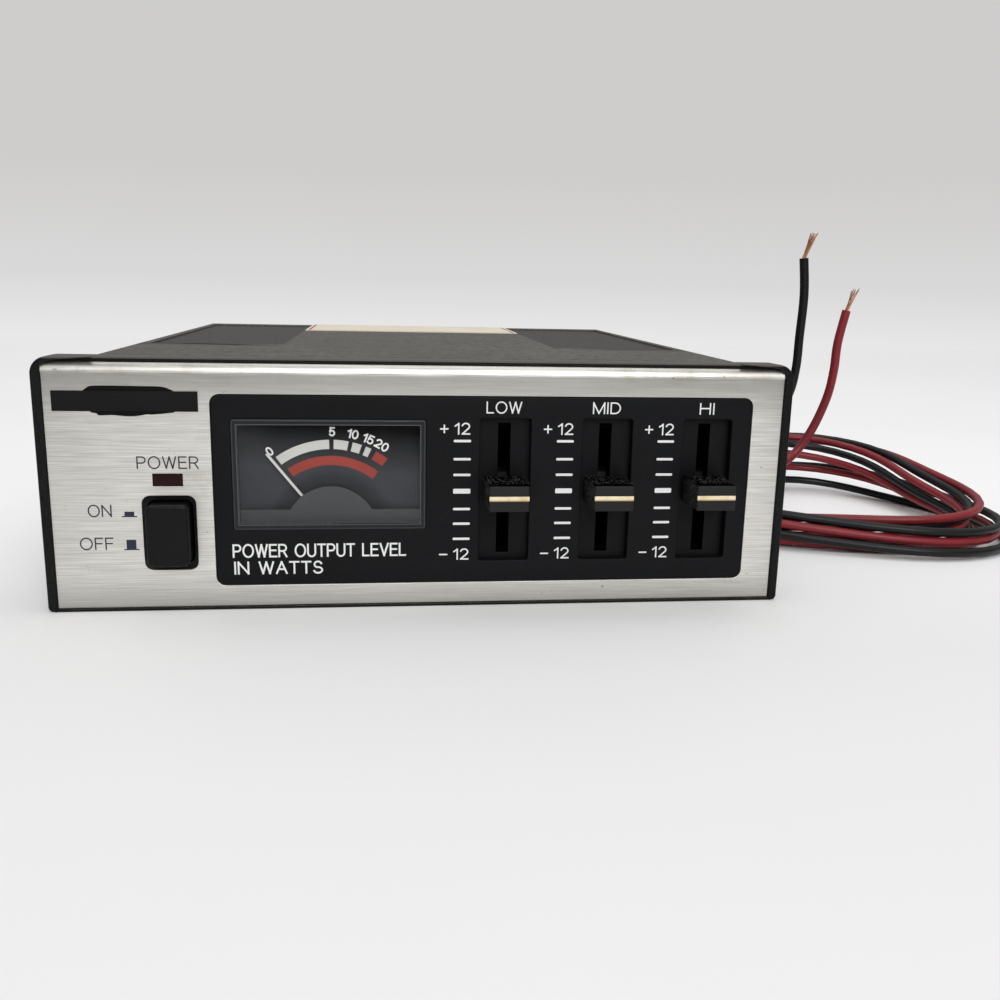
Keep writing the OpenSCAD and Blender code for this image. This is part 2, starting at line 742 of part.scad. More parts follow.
module control_panel() {
    color("#1e1f21") at_origin() difference() {
        union() {
            slab(panel_x, panel_z, panel_w, panel_h, panel_r, [panel_face, panel_back]);
            slab(panel_x, panel_z, panel_w + 2 * panel_flange, panel_h + 2 * panel_flange,
                panel_r + panel_flange, [plate_t, panel_back]);
            for (x = slider_x) slab(x, panel_z, well_w + 2 * well_wall, well_h + 2 * well_wall, 1,
                [panel_face + overlap, well_back]);
            for (x = post_x, z = post_z) rod_y(x, z, post_r, [panel_face + overlap, pot_back]);
            rod_y(strap_x[1], strap_mid, post_r, [panel_face + overlap, block_back]);
        }
        for (x = slider_x) {
            slab(x, panel_z, well_w, well_h, well_r, [-1, well_floor]);
            span(about(x, slot_w / 2), [0, well_back + 1], about(panel_z, slot_h / 2));
        }
        slab(meter_x, lens_z, lens_w + 2 * fit_gap, lens_h + 2 * fit_gap, lens_r + fit_gap,
            [-1, panel_back + 1]);
        for (x = post_x, z = post_z)
            rod_y(x, z, screw_r + tap_gap, [board_back - screw_grip - 1, pot_back + 1]);
        rod_y(strap_x[1], strap_mid, screw_r + tap_gap, [block_back - screw_grip + 1, block_back + 1]);
    }
}

module meter_lens() {
    color([0.8, 0.85, 0.88, 0.35]) at_origin() difference() {
        union() {
            slab(meter_x, lens_z, lens_w, lens_h, lens_r, [lens_face, panel_back + overlap]);
            span(about(meter_x, rim_w / 2), [panel_back, lens_back], rim_z);
        }
        span(about(meter_x, lens_w / 2 - lens_wall), [lens_face + lens_glass, lens_back + 1],
            about(lens_z, lens_h / 2 - lens_wall));
        span(about(meter_x, rim_w / 2 - lens_wall), [panel_back + lens_wall, lens_back + 1],
            [rim_z[0] + lens_wall, rim_z[1] - lens_wall]);
    }
}

module meter_mask() {
    shoulder = lens_bottom + mask_rise;
    color("#3f4042") at_origin() along_y(mask_y, mask_y + leaf_t) intersection() {
        union() {
            translate([meter_x - block_w / 2, block_z[0]]) square([block_w, shoulder - block_z[0]]);
            translate([meter_x, pivot_z]) circle(mask_r);
        }
        translate([meter_x - block_w / 2, block_z[0]]) square([block_w, block_z[1] - block_z[0]]);
    }
}

module meter_dial() {
    color("#37383a") at_origin() difference() {
        span(about(meter_x, block_w / 2), [dial_y, meter_front], block_z);
        rod_y(meter_x, pivot_z, shaft_r + move_gap, [dial_y - 1, meter_front + 1]);
    }
}

module meter_case() {
    color("#242426") at_origin() difference() {
        union() {
            span(about(meter_x, block_w / 2), [meter_front, block_back], block_z);
            rod_y(meter_x, pivot_z, drum_r, [drum_front, drum_back - drum_wall]);
        }
        rod_y(meter_x, pivot_z, drum_r - drum_wall, [drum_front + drum_wall, drum_back + 1]);
        rod_y(meter_x, pivot_z, shaft_r + run_gap, [meter_front - 1, drum_back]);
    }
}

module meter_back() {
    color("#242426") at_origin() difference() {
        rod_y(meter_x, pivot_z, drum_r, [drum_back - drum_wall, drum_back]);
        rod_y(meter_x, pivot_z, shaft_r + run_gap, [drum_back - drum_wall - 1, drum_back + 1]);
    }
}

module meter_magnet() {
    color("#4a4a4d") at_origin() difference() {
        rod_y(meter_x, pivot_z, magnet_r, magnet_y);
        rod_y(meter_x, pivot_z, coil_r + coil_air, [magnet_y[0] - 1, magnet_y[1] + 1]);
    }
}

module meter_coil() {
    color("#b06a34") at_origin() {
        difference() {
            span(about(meter_x, coil_half), coil_y, about(pivot_z, coil_t / 2));
            span(about(meter_x, coil_half - coil_bar), coil_y + [coil_bar, -coil_bar],
                about(pivot_z, coil_t));
        }
        rod_y(meter_x, pivot_z, shaft_r, [needle_y, drum_back + shaft_stub]);
    }
}

module meter_needle() {
    hub_r = 1.8;
    tail = 4;
    color("#e8e8e4") at_origin() translate([meter_x, 0, pivot_z]) rotate([0, -needle_rest, 0])
        difference() {
            union() {
                rod_y(0, 0, hub_r, [needle_y, needle_y + leaf_t]);
                span([-needle_w / 2, needle_w / 2], [needle_y, needle_y + leaf_t], [0, needle_len]);
                span([-needle_w, needle_w], [needle_y, needle_y + leaf_t], [-tail, 0]);
            }
            rod_y(0, 0, shaft_r + hub_gap, [needle_y - 1, needle_y + 1]);
        }
}

module meter_strap() {
    color("#9a9a98") at_origin() difference() {
        span(strap_x + [-post_r, post_r], [block_back, block_back + strap_t], strap_z);
        for (x = strap_x)
            rod_y(x, strap_mid, screw_r + hole_gap, [block_back - 1, block_back + strap_t + 1]);
    }
}

module slide_pot(i) {
    color("#8f8f8c") at_origin() difference() {
        span(about(slider_x[i], pot_w / 2), [pot_front, pot_back], about(panel_z, pot_h / 2));
        span(about(slider_x[i], carriage_w / 2 + move_gap), [pot_front + pot_wall, pot_back - pot_wall],
            about(panel_z, pot_room_h / 2));
        span(about(slider_x[i], lever_w / 2 + move_gap), [pot_front - 1, pot_front + pot_wall + 1],
            about(panel_z, (slider_travel + lever_h) / 2 + lever_room));
    }
}

module slider_lever(i) {
    color("#5a5a58") at_origin() {
        span(about(slider_x[i], lever_w / 2), [lever_front, carriage_y[0] + overlap],
            about(panel_z, lever_h / 2));
        span(about(slider_x[i], carriage_w / 2), carriage_y, about(panel_z, carriage_h / 2));
    }
}

module slider_knob(i) {
    color("#26272a") at_origin() translate([slider_x[i], 0, panel_z]) difference() {
        translate([0, 0, -knob_h / 2]) linear_extrude(knob_h) polygon([
            [-knob_w / 2, -knob_out], [knob_w / 2, -knob_out],
            [knob_root_w / 2, knob_root], [-knob_root_w / 2, knob_root]
        ]);
        span([-knob_w, knob_w], [-knob_out - 1, line_d - knob_out], [-line_h / 2, line_h / 2]);
        span(about(0, lever_w / 2 + knob_grip), [lever_front, knob_root + 1],
            about(0, lever_h / 2 + knob_grip));
    }
}

module knob_line(i) {
    color("#d8bf8c") at_origin() translate([slider_x[i], 0, panel_z])
        span([-knob_w / 2, knob_w / 2], [knob_front, line_d - knob_out], [-line_h / 2, line_h / 2]);
}

module button_cap() {
    color("#18181a") at_origin() slab(power_x, power_z, cap_w, cap_h, cap_r, [-cap_out, cap_back]);
}

module switch_plunger() {
    color("#d9d6cc") at_origin() rod_y(power_x, power_z, plunger_r, [cap_back, plunger_back]);
}

module button_spring() {
    rings_turn = 12;
    y = [cap_back + spring_wire / 2 + spring_seat, switch_front - spring_wire / 2 - spring_seat];
    steps = spring_turns * rings_turn;
    color("#b9b9b6") at_origin() tube([for (i = [0:steps]) [
        power_x + spring_r * cos(360 * i / rings_turn),
        y[0] + (y[1] - y[0]) * i / steps,
        power_z + spring_r * sin(360 * i / rings_turn)
    ]], spring_wire / 2, 6);
}

module switch_body() {
    color("#30302f") at_origin() difference() {
        span(about(power_x, switch_w / 2), [switch_front, switch_front + switch_d],
            [board_top, power_z + switch_w / 2 + 2]);
        rod_y(power_x, power_z, plunger_r + run_gap, [switch_front - 1, plunger_back + cap_travel + 1]);
    }
}

module power_led() {
    color("#54161c") at_origin() {
        span(about(power_x, led_w / 2), [led_front, led_back], about(led_z, led_h / 2));
        span(about(power_x, led_w / 2 + led_flange), [bulkhead_back, bulkhead_back + led_flange_t],
            about(led_z, led_h / 2 + led_flange));
        for (s = [-1, 1]) rod_y(power_x + s * leg_pitch / 2, led_z, leg_r, [led_back - overlap, led_board_y]);
    }
}

module led_board() {
    color("#6b5a2e") at_origin()
        span(about(power_x, led_post_x + 2), [led_board_y, led_board_y + board_t], about(led_z, 3));
}

module front_board() {
    color("#6b5a2e") at_origin() difference() {
        span(board_x, [pot_back, board_back], board_z);
        for (x = post_x, z = post_z) rod_y(x, z, screw_r + hole_gap, [pot_back - 1, board_back + 1]);
    }
}

module main_board() {
    color("#6b5a2e") at_origin() difference() {
        span([-board_half, board_half], [board_front, board_rear], [board_low, board_top]);
        for (s = [-1, 1], y = standoff_y) translate([s * standoff_x, y, board_low - 1])
            cylinder(r = screw_r + hole_gap, h = board_t + 2);
    }
}

module board_standoffs() {
    color("#c8a24a") at_origin() for (s = [-1, 1], y = standoff_y) translate([s * standoff_x, y, sheet])
        difference() {
            cylinder(r = standoff_r, h = standoff_h);
            translate([0, 0, 1]) cylinder(r = screw_r + tap_gap, h = standoff_h);
        }
}

module ribbon_cable() {
    drop = board_front + ribbon_drop;
    high = board_top + ribbon_rise;
    color("#a9a9ad") at_origin() {
        span(about(slider_x[1], ribbon_half), [board_back, drop], [high, high + ribbon_t]);
        span(about(slider_x[1], ribbon_half), [drop - ribbon_t, drop], [board_top, high + ribbon_t / 2]);
    }
}

module filter_capacitors() {
    color("#2b3c5e") at_origin() {
        for (x = big_can_x) translate([x, can_y[1], board_top]) cylinder(r = big_can_r, h = big_can_h);
        for (x = small_can_x) translate([x, can_y[0], board_top])
            cylinder(r = small_can_r, h = small_can_h);
    }
}

module supply_choke() {
    color("#8a4a24") at_origin() translate([choke_x, can_y[1], board_top + choke_core]) rotate_extrude()
        translate([choke_ring, 0]) circle(choke_core);
}

module output_chips() {
    color("#202022") at_origin() for (x = chip_x) {
        difference() {
            union() {
                span(about(x, chip_w / 2), [heat_front - chip_t, heat_front], chip_z);
                span(about(x, chip_w / 2), [heat_front - chip_tab_t, heat_front],
                    [chip_z[1] - overlap, chip_z[1] + chip_tab_h]);
            }
            rod_y(x, chip_screw_z, cover_screw_r + hole_gap, [heat_front - chip_t, heat_front + 1]);
        }
        for (k = [-2:2]) translate([x + k * chip_pitch, heat_front - chip_t / 2, board_top])
            cylinder(r = leg_r, h = chip_z[0] - board_top + overlap);
    }
}

module heat_bracket() {
    color("#b9bcbf") at_origin() difference() {
        span(heat_x, [heat_front, heat_front + heat_t], heat_z);
        for (x = chip_x)
            rod_y(x, chip_screw_z, screw_r + tap_gap, [heat_front - 1, heat_front + heat_t + 1]);
        for (x = heat_screw_x)
            rod_y(x, heat_screw_z, screw_r + tap_gap, [heat_front - 1, heat_front + heat_t + 1]);
    }
}

module chassis() {
    half = inner_half - sheet_gap;
    color("#4a4b4d") at_origin() difference() {
        union() {
            span([-half, half], [frame_depth, case_d], [0, sheet]);
            span([-half, half], [frame_depth, frame_depth + sheet], [0, flange_h]);
            span([-half, half], [case_d - sheet, case_d], [0, inner_top - sheet_gap]);
            for (s = [-1, 1]) on_side(s)
                span([half - sheet, half], [case_d - sheet - tab_d, case_d - sheet / 2], tab_z);
        }
        for (x = flange_screw_x)
            rod_y(x, flange_screw_z, screw_r + hole_gap, [frame_depth - 1, frame_depth + sheet + 1]);
        for (x = heat_screw_x) rod_y(x, heat_screw_z, screw_r + hole_gap, [case_d - sheet - 1, case_d + 1]);
        for (s = [-1, 1]) {
            rod_y(s * grommet_x, grommet_z, grommet_r, [case_d - sheet - 1, case_d + 1]);
            on_side(s) rod_x(cover_screws_at[1][0], cover_screws_at[1][1], cover_screw_r + tap_gap,
                [half - sheet - 1, half + 1]);
        }
    }
}

// Sheet bent over two long edges, open below
module cover_outline(half, top, r) {
    translate([-half, cover_foot]) square([2 * half, top - cover_foot - r]);
    translate([r - half, cover_foot]) square([2 * (half - r), top - cover_foot]);
    for (s = [-1, 1]) translate([s * (half - r), top - r]) circle(r);
}

module top_cover() {
    recess_x = [recess_inner, case_half - recess_side];
    recess_y = [recess_front, case_d - recess_rear];
    color("#47484b") at_origin() difference() {
        union() {
            along_y(frame_depth, case_d) difference() {
                cover_outline(case_half, case_h, bend_r);
                translate([0, -cover_foot - 1])
                    cover_outline(inner_half, inner_top + cover_foot + 1, bend_r - sheet);
            }
            for (s = [-1, 1]) on_side(s) span(recess_x + [-sheet, sheet], recess_y + [-sheet, sheet],
                [inner_top - recess_depth, inner_top + overlap]);
        }
        for (s = [-1, 1]) on_side(s) {
            span(recess_x, recess_y, [case_h - recess_depth, case_h + 1]);
            for (at = cover_screws_at)
                rod_x(at[0], at[1], cover_screw_r + hole_gap, [inner_half - 1, case_half + 1]);
            for (y = bracket_at) rod_x(y, bracket_z, bracket_r, [inner_half - 1, case_half + 1]);
        }
    }
}

module bracket_nuts() {
    color("#b5b5b0") at_origin() for (s = [-1, 1], y = bracket_at) on_side(s)
        translate([inner_half - nut_t, y, bracket_z]) rotate([0, 90, 0]) difference() {
            cylinder(d = nut_af / cos(30), h = nut_t, $fn = 6);
            translate([0, 0, -1]) cylinder(r = bracket_r, h = nut_t + 2);
        }
}

module top_label() {
    color("#e6dccb") at_origin() span([-label_w / 2, label_w / 2],
        [case_d - label_rear - label_d, case_d - label_rear], [case_h, case_h + label_t]);
}

// Rubber grommet in the rear panel, with a bore for each lead
module grommet(x, bores) {
    difference() {
        union() {
            rod_y(x, grommet_z, grommet_r + grommet_lip, [case_d, case_d + grommet_t]);
            rod_y(x, grommet_z, grommet_r - run_gap, [case_d - sheet - 1, case_d + 1]);
            rod_y(x, grommet_z, grommet_r + grommet_lip, [case_d - sheet - grommet_t, case_d - sheet]);
        }
        for (b = bores) rod_y(x + b[0], grommet_z + b[1], lead_bore, [case_d - 5, case_d + 5]);
    }
}

module lead_grommet() {
    color("#151516") at_origin() grommet(grommet_x, [for (x = lead_x) [x - grommet_x, 0]]);
}

module speaker_grommet() {
    color("#151516") at_origin() grommet(-grommet_x, [for (x = [-1.8, 1.8], z = [-1.8, 1.8]) [x, z]]);
}

module front_screws() {
    color("#a8a8a4") at_origin() {
        for (x = post_x, z = post_z) screw_y(x, z, board_back, screw_grip);
        for (x = strap_x) screw_y(x, strap_mid, block_back + strap_t, screw_grip - 1);
        for (x = flange_screw_x)
            screw_y(x, flange_screw_z, frame_depth + sheet,
                frame_depth + sheet - panel_back - 2 * blind_wall);
    }
}

module board_screws() {
    color("#a8a8a4") at_origin() {
        for (s = [-1, 1], y = standoff_y) translate([s * standoff_x, y, board_top]) {
            cylinder(r = head_r, h = head_h);
            translate([0, 0, 2 - board_t - standoff_h])
                cylinder(r = screw_r, h = board_t + standoff_h - 2 + overlap);
        }
        for (x = chip_x) {
            rod_y(x, chip_screw_z, head_r, [heat_front - chip_tab_t - head_h, heat_front - chip_tab_t]);
            rod_y(x, chip_screw_z, screw_r,
                [heat_front - chip_tab_t - overlap, heat_front + heat_t - screw_short]);
        }
    }
}

module cover_screws() {
    color("#2a2a2c") at_origin() {
        for (s = [-1, 1], at = cover_screws_at) on_side(s) {
            rod_x(at[0], at[1], cover_head_r, [case_half, case_half + cover_head_h]);
            rod_x(at[0], at[1], cover_screw_r, [case_half - 6, case_half + overlap]);
        }
        for (x = heat_screw_x) {
            rod_y(x, heat_screw_z, head_r, [case_d, case_d + head_h]);
            rod_y(x, heat_screw_z, screw_r, [heat_front + screw_short, case_d + overlap]);
        }
    }
}

lead_colors = ["#1d1e20", "#a02a2a"];

module lead_tail(lane) {
    color(lead_colors[lane]) at_origin() tube(tail_path(lane), lead_r, 8);
}

module lead_hank(lane) {
    color(lead_colors[lane]) at_origin() tube(hank_path(lane), lead_r, 6);
}

module lead_end(lane) {
    color(lead_colors[lane]) at_origin() tube(end_path(lane), lead_r, 8);
}

module lead_tip(lane) {
    foot = end_points[lane][len(end_points[lane]) - 1];
    color("#b8794a") at_origin() translate([case_half, 0, 0])
        tube([foot, tip_points[lane]], copper_d / 2, 8);
}

echo(black_hank_gap = self_gap(hank_path(0)), red_hank_gap = self_gap(hank_path(1)));
echo(black_to_red_gap = pair_gap(hank_path(0), hank_path(1)));
echo(lead_lengths = [for (lane = [0, 1])
    path_length(tail_path(lane)) + path_length(hank_path(lane)) + path_length(end_path(lane))]);

front_frame();
face_plate();
badge_strip();
control_panel();
meter_lens();
meter_mask();
meter_dial();
meter_case();
meter_back();
meter_magnet();
meter_coil();
meter_needle();
meter_strap();
slide_pot(0);  // slide_pot_low
slide_pot(1);  // slide_pot_mid
slide_pot(2);  // slide_pot_hi
slider_lever(0);  // slider_lever_low
slider_lever(1);  // slider_lever_mid
slider_lever(2);  // slider_lever_hi
slider_knob(0);  // slider_knob_low
slider_knob(1);  // slider_knob_mid
slider_knob(2);  // slider_knob_hi
knob_line(0);  // knob_line_low
knob_line(1);  // knob_line_mid
knob_line(2);  // knob_line_hi
button_cap();
switch_plunger();
button_spring();
switch_body();
power_led();
led_board();
front_board();
main_board();
board_standoffs();
ribbon_cable();
filter_capacitors();
supply_choke();
output_chips();
heat_bracket();
chassis();
top_cover();
bracket_nuts();
top_label();
lead_grommet();
speaker_grommet();
front_screws();
board_screws();
cover_screws();
lead_tail(0);  // black_lead_tail
lead_hank(0);  // black_lead_hank
lead_end(0);  // black_lead_end
lead_tip(0);  // black_lead_tip
lead_tail(1);  // red_lead_tail
lead_hank(1);  // red_lead_hank
lead_end(1);  // red_lead_end
lead_tip(1);  // red_lead_tip
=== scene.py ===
import json
import math

import bmesh
import bpy
import numpy as np
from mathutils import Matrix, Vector, geometry

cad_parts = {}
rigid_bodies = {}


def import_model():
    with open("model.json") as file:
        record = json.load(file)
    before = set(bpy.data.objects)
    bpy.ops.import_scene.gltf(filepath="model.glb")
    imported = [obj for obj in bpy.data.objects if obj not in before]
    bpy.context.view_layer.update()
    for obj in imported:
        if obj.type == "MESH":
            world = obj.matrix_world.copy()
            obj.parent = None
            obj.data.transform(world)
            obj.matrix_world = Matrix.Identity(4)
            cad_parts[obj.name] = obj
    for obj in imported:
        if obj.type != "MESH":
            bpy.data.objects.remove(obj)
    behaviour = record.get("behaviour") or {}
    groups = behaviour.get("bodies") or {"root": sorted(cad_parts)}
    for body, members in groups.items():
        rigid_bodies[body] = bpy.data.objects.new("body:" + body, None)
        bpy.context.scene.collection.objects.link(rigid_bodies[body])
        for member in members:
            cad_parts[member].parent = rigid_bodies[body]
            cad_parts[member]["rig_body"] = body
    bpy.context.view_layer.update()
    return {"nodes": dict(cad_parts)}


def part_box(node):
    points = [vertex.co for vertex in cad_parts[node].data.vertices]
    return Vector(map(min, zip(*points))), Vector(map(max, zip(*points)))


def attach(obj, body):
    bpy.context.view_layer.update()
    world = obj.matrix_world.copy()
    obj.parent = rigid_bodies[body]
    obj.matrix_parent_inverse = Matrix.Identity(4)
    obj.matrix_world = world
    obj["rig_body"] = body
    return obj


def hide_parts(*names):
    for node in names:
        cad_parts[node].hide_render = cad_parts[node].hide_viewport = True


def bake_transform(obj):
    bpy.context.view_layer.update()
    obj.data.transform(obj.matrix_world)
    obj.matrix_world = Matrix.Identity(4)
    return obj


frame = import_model()
nodes = frame["nodes"]
scene = bpy.context.scene

# Camera
# The view of the photograph: a plain lens 0.2 m in front of the face, a little above it and to the left of
# its middle, tilted down.
view = bpy.data.cameras.new("view")
view.lens = 35.376
view.sensor_width = 36
view.clip_start = 0.01
eye = bpy.data.objects.new("eye", view)
eye.location = (-0.009366, -0.261434, 0.065847)
eye.rotation_euler = np.radians((77.4624, -1.2238, -6.7507))
scene.collection.objects.link(eye)
scene.camera = eye

# Supply leads
# Two stranded copper leads in soft vinyl, black and red. They leave the rear through one grommet, lie
# beside the case in a loose hank of four turns, and end stripped and bent up.
face_y = -0.06695
lead_d = 2.3
hank_middle, hank_turns = (117.5, 72), 4
hank_r, hank_lobe, hank_lift = 38.9, 0.12, 6.5
rim_places, rim_low, rim_more = 10, 4, 1.2
strand_r, core_r = 0.00011, 0.00042
lead_tails = (
    ((46.5, 137, 16), (46.5, 142, 16), (46.5, 147, 16), (49, 151.5, 15.4), (54, 154, 14.2), (60, 153.5, 12.6),
     (65.5, 149.5, 10.6), (69, 142, 8.4), (69.6, 132, 6.6), (69.6, 120, 5.4), (69.8, 108, 4.6), (70.2, 96, 4.2)),
    ((43.5, 137, 16), (43.5, 142, 16), (43.5, 147, 16), (45.5, 153, 15.4), (51, 157.5, 14.2), (60, 157.8, 12.6),
     (68, 153.5, 10.6), (72.6, 144, 8.2), (73.6, 132, 5.8), (73.6, 120, 4), (73.8, 108, 2.8), (74.2, 96, 2.2)),
)
lead_ends = (
    ((84.6, 60, 8.8), (86.4, 56.8, 14), (90, 56.6, 22.5), (95.5, 58.2, 31), (100, 59.8, 38),
     (101.4, 60, 45), (101.6, 60, 53), (101.9, 60, 64), (101, 60, 73.5)),
    ((76.4, 59.6, 15.6), (79.8, 55, 17.2), (85.5, 53, 17.7), (91.8, 54.2, 17.8), (98, 57.4, 18.8),
     (103.3, 60, 21.8), (107.5, 60, 28.3), (110.8, 60, 36.7), (112.1, 60, 44), (112.5, 60, 51.7),
     (114.1, 60, 60.2)),
)
lead_tips = ((103.4, 60, 80.2), (116.4, 60, 66.2))


def from_face(points):
    """Places in metres of points that are measured in millimetres from the foot of the plate's face."""
    return np.asarray(points, float) / 1000 + (0, face_y, 0)


def spots(x, y, z):
    """Places in metres of points whose coordinates come as three arrays, which are spread to one shape."""
    return from_face(np.stack(np.broadcast_arrays(x, y, z), axis=-1))


def ease(t, start, stop):
    """0 before start and 1 after stop, with a smooth climb between."""
    u = np.clip((t - start) / (stop - start), 0, 1)
    return u ** 2 * (3 - 2 * u)


def hank(t, lane):
    """Point after t turns of a loose bundle. The bundle's middle is a circle with three low lobes and lies higher
    behind. A lead keeps its own place on the bundle's rim, which turns by three fifths in each round, so the ten
    places never meet. The black lead's last turn leaves the rim outward, comes down to the floor, passes under
    the bundle behind and ends inside it; the red one ends lifted off the others."""
    angle = np.pi + 2 * np.pi * t
    on_rim = np.radians(300 - 360 / rim_places * lane) - 2 * np.pi * 0.6 * t
    rear = (1 + np.sin(angle)) / 2
    middle = hank_r * (1 + hank_lobe * np.cos(3 * (angle + np.radians(48))))
    rim = rim_low + rim_more * rear
    black, red = 1 - lane, lane
    away, down = black * ease(t, 3.06, 3.32), black * ease(t, 3.28, 3.5)
    stray = 6.7 - 10.7 * ease(t, 3.5, 3.76) - 9 * ease(t, 3.8, 4)
    r = middle + rim * np.cos(on_rim) * (1 - away) + stray * away
    lying = rim * (1 + np.sin(on_rim)) + hank_lift * rear ** 1.5
    rise = black * (2.8 * ease(t, 3.58, 3.74) + 2 * ease(t, 3.85, 4)) + red * 2.6 * ease(t, 3.86, 4)
    z = lead_d / 2 + 0.05 + lying * (1 - down) + rise
    return np.stack([hank_middle[0] + r * np.cos(angle), hank_middle[1] + r * np.sin(angle), z], axis=-1)


def through(points, steps):
    """Smooth curve through points: between two neighbours a cubic, whose slope at each point is half the way
    from the point before it to the point after it."""
    p = np.vstack([points[:1], points, points[-1:]])
    a, b, c, d = (p[i:len(p) - 3 + i, None, :] for i in range(4))
    u = np.linspace(0, 1, steps, endpoint=False)[None, :, None]
    curve = (2 * b + (c - a) * u + (2 * a - 5 * b + 4 * c - d) * u ** 2 + (3 * b - a - 3 * c + d) * u ** 3) / 2
    return np.vstack([curve.reshape(-1, 3), points[-1:]])


def lead_route(lane):
    """Whole way of a lead: its tail from the grommet, the hank, and the end that stands up."""
    nudge = 0.005
    ways = [hank(t + nudge, lane) - hank(t - nudge, lane) for t in (nudge, hank_turns - nudge)]
    first_way, last_way = (way / np.linalg.norm(way) for way in ways)
    turns = hank(np.linspace(0, hank_turns, 48 * hank_turns + 1), lane)
    start, end = turns[0] - lead_d * first_way, turns[-1] + lead_d * last_way
    tail = through(np.vstack([lead_tails[lane], start - 3 * lead_d * first_way, start]), 5)
    rise = through(np.vstack([end, end + 2 * lead_d * last_way, lead_ends[lane]]), 5)
    return from_face(np.vstack([tail, turns, rise]))


def skin(name, *solids):
    """One mesh over closed solids. A solid is a loft, an array of rings that each have as many points, or a tuple
    of lofts: a rim and the holes in it. Quads join ring i to ring i + 1. Flats fill the first rings and the last
    ones, less the holes; a hole that ends short of the back has a flat of its own. Faces are turned outward."""
    points, faces, flats, first = [], [], [], 0
    for solid in solids:
        starts, ends = [], []
        for loft in solid if isinstance(solid, tuple) else (solid,):
            n, m = loft.shape[:2]
            index = first + np.arange(n * m).reshape(n, m)
            turn = np.roll(index, -1, axis=1)
            faces += np.stack([index[:-1], turn[:-1], turn[1:], index[1:]], axis=-1).reshape(-1, 4).tolist()
            points.append(loft.reshape(-1, 3))
            short = bool(ends) and abs(loft[-1, 0, 1] - back) > 1e-6
            back = back if ends else loft[-1, 0, 1]
            starts.append(index[0])
            flats += [index[-1].tolist()] if short else []
            ends += [] if short else [index[-1]]
            first += n * m
        known = np.vstack(points)
        for border in (starts, ends):
            if len(border) == 1:
                flats.append(border[0].tolist())
            else:
                order = np.concatenate(border)
                fill = geometry.tessellate_polygon([[Vector(at) for at in known[ring]] for ring in border])
                flats += order[np.array(fill)].tolist()
    mesh = bpy.data.meshes.new(name)
    mesh.from_pydata(np.vstack(points), [], faces + flats)
    mesh.polygons.foreach_set("use_smooth", [True] * len(faces) + [False] * len(flats))
    work = bmesh.new()
    work.from_mesh(mesh)
    bmesh.ops.recalc_face_normals(work, faces=work.faces)
    work.to_mesh(mesh)
    work.free()
    mesh.set_sharp_from_angle(angle=math.radians(35))
    piece = bpy.data.objects.new(name, mesh)
    scene.collection.objects.link(piece)
    return piece


def hose(route, radius, sides):
    """Rings of a round section carried along a route, square to it. One side of a ring lies square to a
    slanting line that no stretch of these routes follows, so the rings never flip."""
    way = np.gradient(route, axis=0)
    way /= np.linalg.norm(way, axis=1, keepdims=True)
    side = np.cross(way, (0, -0.7, 0.7))
    side /= np.linalg.norm(side, axis=1, keepdims=True)
    up = np.cross(side, way)
    a = np.linspace(0, 2 * np.pi, sides, endpoint=False)[None, :, None]
    return route[:, None, :] + radius * (np.cos(a) * side[:, None, :] + np.sin(a) * up[:, None, :])


def paint(code):
    """Colour of a six-figure code as the shader takes it, with the code's gamma undone."""
    c = np.array([int(code[i:i + 2], 16) for i in (1, 3, 5)]) / 255
    c = np.where(c <= 0.04045, c / 12.92, ((c + 0.055) / 1.055) ** 2.4)
    return (*c.tolist(), 1)


def put(tree, kind, into, **settings):
    """One shader node in a tree. Each input is a number, a colour or another node's output."""
    made = tree.nodes.new("ShaderNode" + kind)
    for key, value in settings.items():
        setattr(made, key, value)
    for key, value in into.items():
        if isinstance(value, bpy.types.NodeSocket):
            tree.links.new(value, made.inputs[key])
        else:
            made.inputs[key].default_value = value
    return made


def calc(operation, *values):
    """Result of one sum on outputs and numbers, in the tree of the first output."""
    tree = next(value for value in values if isinstance(value, bpy.types.NodeSocket)).id_data
    return put(tree, "Math", dict(enumerate(values)), operation=operation).outputs[0]


def times(a, b):
    return calc("MULTIPLY", a, b)


def larger(a, b):
    return calc("MAXIMUM", a, b)


def tint(mask, low, high):
    """Colour that goes from low to high with a mask. Each is a six-figure code, a colour or an output."""
    low, high = (paint(end) if isinstance(end, str) else end for end in (low, high))
    return put(mask.id_data, "Mix", {0: mask, 6: low, 7: high}, data_type="RGBA").outputs[2]


def spread(value, low, high, at_low=0.0, at_high=1.0):
    """Value stretched so that low and high become at_low and at_high, and held there beyond them."""
    return put(value.id_data, "MapRange", {0: value, 1: low, 2: high, 3: at_low, 4: at_high}).outputs[0]


def between(value, low, first, last, high):
    """1 from first to last, falling to 0 at low and at high."""
    return times(spread(value, low, first), spread(value, last, high, 1, 0))


def off(axis, middle):
    """Distance from a middle along an axis."""
    return calc("ABSOLUTE", calc("SUBTRACT", axis, middle))


def inset(across, middles, halves):
    """Distance in from the nearest side of an oblong that is given by its middle and half its size."""
    return calc("MINIMUM", *(calc("SUBTRACT", float(half), off(axis, float(middle)))
                             for axis, middle, half in zip(across, middles, halves)))


def spot(tree):
    """Place on the object, as a vector."""
    return put(tree, "TexCoord", {}).outputs["Object"]


def axes(tree):
    """Place on the object, as three values."""
    return put(tree, "SeparateXYZ", {0: spot(tree)}).outputs


def noise(tree, scale, detail=2.0, roughness=0.5):
    """Noise from about 0.2 to 0.8 whose grains are one metre over the scale."""
    into = {"Vector": spot(tree), "Scale": scale, "Detail": detail, "Roughness": roughness}
    return put(tree, "TexNoise", into).outputs[0]


